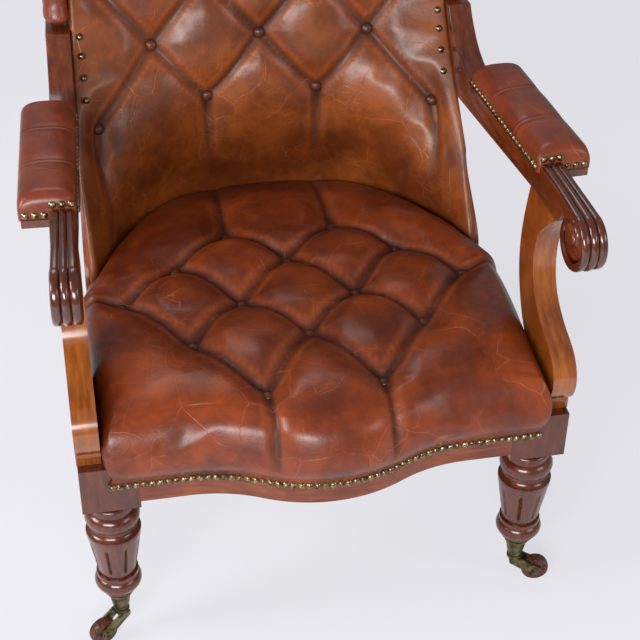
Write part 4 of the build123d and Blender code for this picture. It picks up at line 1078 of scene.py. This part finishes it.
# Outline of an arm from the scroll's neck along the top to the back, and home underneath
ARM_TOP = (
    (-299, 612), (-250, 614), (-187, 614), (-186, 594), (72, 582), (73, 594), (100, 598), (115, 603), (130, 609),
    (145, 619), (158, 630), (170, 642), (180, 656),
)
ARM_UNDER = (
    (234, 655), (230, 634), (224, 610), (214, 588), (203, 573), (187, 559), (168, 551), (140, 546), (101, 549),
    (-160, 574.5), (-252, 578), (-254, 585), (-258, 590), (-263, 590), (-267, 585), (-280, 580), (-299, 580),
)
# The reeded band: its straight share, the degrees it is wound through, and its radius there
BAND_STRAIGHT = 0.2
BAND_TURN = 520.0
BAND_STOPS = (0.0, 70.0, 130.0, 190.0, 250.0, 320.0, 400.0, 460.0, 520.0)
BAND_RADII = (31.8, 34.6, 38.5, 42.0, 37.0, 27.0, 19.0, 14.5, 11.0)


def scroll_path(t):
    """Outer line of the reeded band from the pad to the eye: place, way out, depth, half width."""
    depth = smooth(t, (0.0, 0.2, 0.45, 0.75, 1.0), (4.0, 8.5, 11.0, 7.5, 4.0))
    wide = smooth(t, (0.0, 0.1, 0.2, 0.3, 0.45, 1.0), (12.4, 13.4, 14.9, 16.2, 17.0, 16.0))
    if t <= BAND_STRAIGHT:
        share = t / BAND_STRAIGHT
        y = PAD_FRONT_Y - 1.0 + (SCROLL_Y - PAD_FRONT_Y + 1.0) * share
        return y, SCROLL_Z + SCROLL_R - 2.2 * share**3, 0.0, 1.0, depth, wide
    turned = (t - BAND_STRAIGHT) / (1 - BAND_STRAIGHT) * BAND_TURN
    radius = smooth(turned, BAND_STOPS, BAND_RADII)
    out_y, out_z = -math.sin(math.radians(turned)), math.cos(math.radians(turned))
    return SCROLL_Y + radius * out_y, SCROLL_Z + radius * out_z, out_y, out_z, depth, wide


class CHAIR_OT_arms(bpy.types.Operator):
    """Carves the arms: a scroll wound with three reeds, the rail and its sweep to the back"""

    bl_idname = "chair.arms"
    bl_label = "Carved arms"

    def execute(self, context):
        for side, word in SIDES:
            finish_piece(self.plate(side, word), MATERIALS["arms"], (f"arm_{word}",))
            finish_piece(self.band(side, word), MATERIALS["reeds"])
        return {"FINISHED"}

    def plate(self, side, word):
        """The arm sawn from its board, with the disc and the eye of the scroll."""
        outline = ARM_TOP + ARM_UNDER
        deselect()
        bpy.ops.mesh.primitive_circle_add(vertices=len(outline), fill_type="NGON")
        plate = bpy.context.object
        plate.name = f"arm_carved_{word}"
        for vertex, (y, z) in zip(plate.data.vertices, outline):
            vertex.co = Vector((-1, y, z))
        edit(plate, lambda: bpy.ops.mesh.extrude_region_move(TRANSFORM_OT_translate={"value": (2, 0, 0)}))
        for vertex in plate.data.vertices:
            across, y, z = vertex.co
            half = between(y, (-245.0, -170.0), (14.0, 16.0))
            vertex.co = arm_point(across * half, y, z, side)
        outward(plate)
        bevel(plate, 0.0014)
        smooth_shade(join(plate, [self.drum(side, *drum) for drum in (DISC, EYE)]), 32)
        return plate

    def drum(self, side, radius, half, soft):
        """Short cylinder across the arm at the middle of its scroll."""
        deselect()
        bpy.ops.mesh.primitive_cylinder_add(vertices=48, radius=radius * MM, depth=2 * half * MM)
        drum = bpy.context.object
        for vertex in drum.data.vertices:
            x, y, z = vertex.co / MM
            vertex.co = arm_point(z, SCROLL_Y + x, SCROLL_Z + y, side)
        outward(drum)
        return bevel(drum, soft)

    def band(self, side, word):
        """Three reeds wound round the scroll, with a flat underside."""
        cells = 3 * REED_CELLS + EDGE_CELLS
        band = add_grid(f"arm_reeds_{word}", cells, 220)

        def place(x, y):
            spot = round((x + 1) / 2 * cells)
            at_y, at_z, out_y, out_z, depth, wide = scroll_path((y + 1) / 2)
            hollow = min(5.2, depth * 0.62)
            if spot <= 3 * REED_CELLS:
                reed, step = divmod(min(spot, 3 * REED_CELLS - 1), REED_CELLS)
                step += spot == 3 * REED_CELLS
                local = -math.cos(math.pi * step / REED_CELLS)
                across = wide * ((2 * reed + 1 + local) / 3 - 1)
                rise = -hollow * (1 - math.sqrt(max(0.0, 1 - local * local)))
                if reed != 1:
                    rise -= 0.9 * (1 - abs(local))
            else:
                step = (spot - 3 * REED_CELLS) / EDGE_CELLS
                across = wide * (1 - 2 * ease(step))
                rise = -depth if 0 < step < 1 else -hollow
            return arm_point(across, at_y + out_y * rise, at_z + out_z * rise, side)

        weld(shape_grid(band, place), 0.00005)
        smooth_shade(band, 60)
        return band


class CHAIR_OT_pads(bpy.types.Operator):
    """Makes the leather pads on the arms, each with two seams across it"""

    bl_idname = "chair.pads"
    bl_label = "Arm pads"

    def execute(self, context):
        for side, word in SIDES:
            pad = add_grid(f"arm_pad_leather_{word}", 56, 110)
            marks = []

            def place(x, y):
                t = (y + 1) / 2
                angle = math.pi * (1 - (x + 1) / 2)
                run = PAD_FRONT_Y + 0.5 + (PAD_BACK_Y - PAD_FRONT_Y - 1.0) * t
                base = between(run, *PAD_SEAT) + BOARD
                end = min(1.0, math.sqrt(max(0.0, 1 - max(0.0, 1 - min(t, 1 - t) / 0.07) ** 2)))
                seam = min(abs(t - 1 / 3), abs(t - 2 / 3))
                welt, groove, dip = (math.exp(-((seam / reach) ** 2)) for reach in SEAM_REACHES)
                high = abs(math.sin(angle)) ** PAD_POWER
                across = PAD_MIDDLE + PAD_HALF * rounded(math.cos(angle), PAD_POWER) * (0.93 + 0.07 * end)
                height = PAD_HEIGHT * high * (1 - 0.04 * dip) * (0.35 + 0.65 * end)
                height -= (groove * 1.3 - welt * 1.5) * high
                height += 7.0 * min(1.0, high * 4) * (1 - high)
                marks.append((groove * (1 - welt), welt))
                return arm_point(across, run, base + max(0.0, height) + 0.4, side)

            def to_base(co):
                return Vector((co.x, co.y, (between(co.y / MM, *PAD_SEAT) + BOARD + 0.3) * MM))

            close_under(shape_grid(pad, place), [to_base])
            outward(pad)
            extra = [0.0] * (len(pad.data.vertices) - len(marks))
            # Painted shade in the grooves beside the seams; the crowns between are worn and the welts pale
            store(pad, "fold", [0.5 * groove for groove, _ in marks] + extra)
            store(pad, "crown", [0.7 * (1 - groove) for groove, _ in marks] + extra)
            store(pad, "ridge", [welt for _, welt in marks] + extra)
            subdivide(pad)
            fill_rim(pad)
            smooth_shade(pad)
            finish_piece(pad, MATERIALS["red leather"], (f"arm_pad_{word}",))
        return {"FINISHED"}


# How far a seat button sinks into the hide, and how far a back button stands out of it
BUTTON_SUNK, BUTTON_PROUD = 0.001, 0.0025


def covered_button(radius):
    """A domed button in a scrap of hide, modelled once."""
    deselect()
    bpy.ops.mesh.primitive_uv_sphere_add(segments=20, ring_count=10, radius=radius)
    button = bpy.context.object
    for vertex in button.data.vertices:
        flat = vertex.co.z / radius
        vertex.co.z = flat * radius * (0.62 if flat > 0 else 0.35)
    return button


class CHAIR_OT_buttons(bpy.types.Operator):
    """Sets the covered buttons in the seat and the back"""

    bl_idname = "chair.buttons"
    bl_label = "Buttons"

    def execute(self, context):
        s = sizes()
        seat, back = bpy.data.objects["seat_leather"], bpy.data.objects["back_leather"]
        up = Vector((0, 0, 1))
        spots = {"seat": [], "back": []}
        for u, v in SEAT_BUTTONS:
            deep = (seat_base_point(u, v, 0.0, 0.0) - up * s.seat_button_depth / MM) * MM
            spots["seat"].append((self.on_leather(seat, deep) - up * BUTTON_SUNK, up))
        for u, v in BACK_BUTTONS:
            z = BACK_ROWS[v]
            side = back_inner(u + 0.05, z) - back_inner(u - 0.05, z)
            rise = back_inner(u, z + 5) - back_inner(u, z - 5)
            normal = side.cross(rise).normalized()
            deep = (back_inner(u, z) - normal * s.back_button_depth / MM) * MM
            spots["back"].append((self.on_leather(back, deep) + normal * BUTTON_PROUD, normal))
        for kind, places in spots.items():
            self.sew(kind, places, s.button_radius)
        return {"FINISHED"}

    def sew(self, kind, places, radius):
        """Sets the buttons of the seat or of the back, as one piece."""
        made = []
        for point, normal in places:
            button = covered_button(radius)
            turn = normal.to_track_quat("Z", "Y").to_matrix().to_4x4()
            button.data.transform(Matrix.Translation(point) @ turn)
            made.append(button)
        buttons = join(made[0], made[1:])
        buttons.name = f"{kind}_buttons_covered"
        smooth_shade(buttons)
        finish_piece(buttons, MATERIALS["button leather"], (f"{kind}_buttons",))

    def on_leather(self, leather, deep):
        """The place on the leather that is nearest to the foot of a button."""
        found, place, _, _ = leather.closest_point_on_mesh(deep)
        if not found:
            raise RuntimeError("a button has no leather under it")
        return place


# Lamps: name, place and size in metres, and watts
LAMPS = (
    ("key", (-1.2, -2.9, 1.75), (1.9, 0.8), 82),
    ("side", (-2.5, -0.5, 1.7), (1.0, 0.8), 34),
    ("fill", (2.2, -1.9, 1.7), (1.2, 0.9), 13),
    ("top", (-0.3, 1.5, 2.6), (1.4, 0.8), 9),
)
# Camera of the photograph: place in millimetres, its pitch, yaw and roll in degrees, and its lens
CAMERA_PLACE = (-288.057, -1654.517, 1548.376)
CAMERA_TURN = (37.01079692, -11.46841162, 0.78134395)
CAMERA_LENS, CAMERA_FILM = 84.375, 36.0
FLOOR_SIZE = 60
WORLD_LIGHT, WORLD_SEEN = 0.26, "#e6e5eb"


class CHAIR_OT_stage(bpy.types.Operator):
    """Lays the studio floor, the lights and the camera of the photograph"""

    bl_idname = "chair.stage"
    bl_label = "Stage"

    def execute(self, context):
        scene = context.scene
        deselect()
        bpy.ops.mesh.primitive_plane_add(size=FLOOR_SIZE, location=(0, 0, 0))
        floor = context.object
        floor.name = "studio_floor"
        floor.data.materials.append(MATERIALS["floor"])
        world = scene.world or bpy.data.worlds.new("Studio")
        scene.world = world
        world.use_nodes = True
        world.node_tree.nodes.clear()
        # The camera sees pale paper above the floor as well; everything else is lit more softly
        light = add_node(world, "Background", {"Color": grey(1.0), "Strength": WORLD_LIGHT}).outputs[0]
        seen = add_node(world, "Background", {"Color": colour(WORLD_SEEN)}).outputs[0]
        by_camera = add_node(world, "LightPath").outputs["Is Camera Ray"]
        blend = add_node(world, "MixShader", {0: by_camera, 1: light, 2: seen})
        add_node(world, "OutputWorld", {"Surface": blend.outputs[0]})
        for name, place, size, watts in LAMPS:
            data = bpy.data.lights.new(name, "AREA")
            data.shape = "RECTANGLE"
            data.size, data.size_y = size
            data.energy = watts
            lamp = bpy.data.objects.new(name, data)
            scene.collection.objects.link(lamp)
            lamp.location = place
            aim = Vector((0, 0, 0.4)) - Vector(place)
            lamp.rotation_euler = aim.to_track_quat("-Z", "Y").to_euler()
        self.camera(scene)
        scene.view_settings.view_transform = "Standard"
        return {"FINISHED"}

    def camera(self, scene):
        """Stands the camera where the photograph was taken from."""
        pitch, yaw, roll = (math.radians(angle) for angle in CAMERA_TURN)
        back = Vector((math.sin(yaw) * math.cos(pitch), -math.cos(yaw) * math.cos(pitch), math.sin(pitch)))
        right = (-back).cross(Vector((0, 0, 1))).normalized()
        up = right.cross(-back)
        across = right * math.cos(roll) + up * math.sin(roll)
        upward = up * math.cos(roll) - right * math.sin(roll)
        turn = Matrix((across, upward, back)).transposed().to_4x4()
        data = bpy.data.cameras.new("photograph")
        data.lens = CAMERA_LENS
        data.sensor_width = CAMERA_FILM
        data.clip_end = 50
        camera = bpy.data.objects.new("photograph", data)
        scene.collection.objects.link(camera)
        camera.matrix_world = Matrix.Translation(Vector(CAMERA_PLACE) * MM) @ turn
        scene.camera = camera


OPERATORS = (
    CHAIR_OT_materials,
    CHAIR_OT_frame,
    CHAIR_OT_seat,
    CHAIR_OT_back,
    CHAIR_OT_outside,
    CHAIR_OT_arms,
    CHAIR_OT_pads,
    CHAIR_OT_buttons,
    CHAIR_OT_stage,
)


class CHAIR_PT_panel(bpy.types.Panel):
    """Lists the steps and sizes of the chair"""

    bl_label = "Library armchair"
    bl_space_type = "VIEW_3D"
    bl_region_type = "UI"
    bl_category = "Chair"

    def draw(self, context):
        layout = self.layout
        for group in (context.scene.chair_sizes, context.scene.chair_colours):
            for name in group.bl_rna.properties.keys():
                if name not in ("rna_type", "name"):
                    layout.prop(group, name)
        for operator in OPERATORS:
            layout.operator(operator.bl_idname)


CLASSES = (ChairSizes, ChairColours, *OPERATORS, CHAIR_PT_panel)


def register():
    for cls in CLASSES:
        bpy.utils.register_class(cls)
    bpy.types.Scene.chair_sizes = bpy.props.PointerProperty(type=ChairSizes)
    bpy.types.Scene.chair_colours = bpy.props.PointerProperty(type=ChairColours)


def unregister():
    del bpy.types.Scene.chair_colours
    del bpy.types.Scene.chair_sizes
    for cls in reversed(CLASSES):
        bpy.utils.unregister_class(cls)


def main():
    register()
    for operator in OPERATORS:
        group, name = operator.bl_idname.split(".")
        getattr(getattr(bpy.ops, group), name)()
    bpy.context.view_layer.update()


if __name__ == "__main__":
    main()
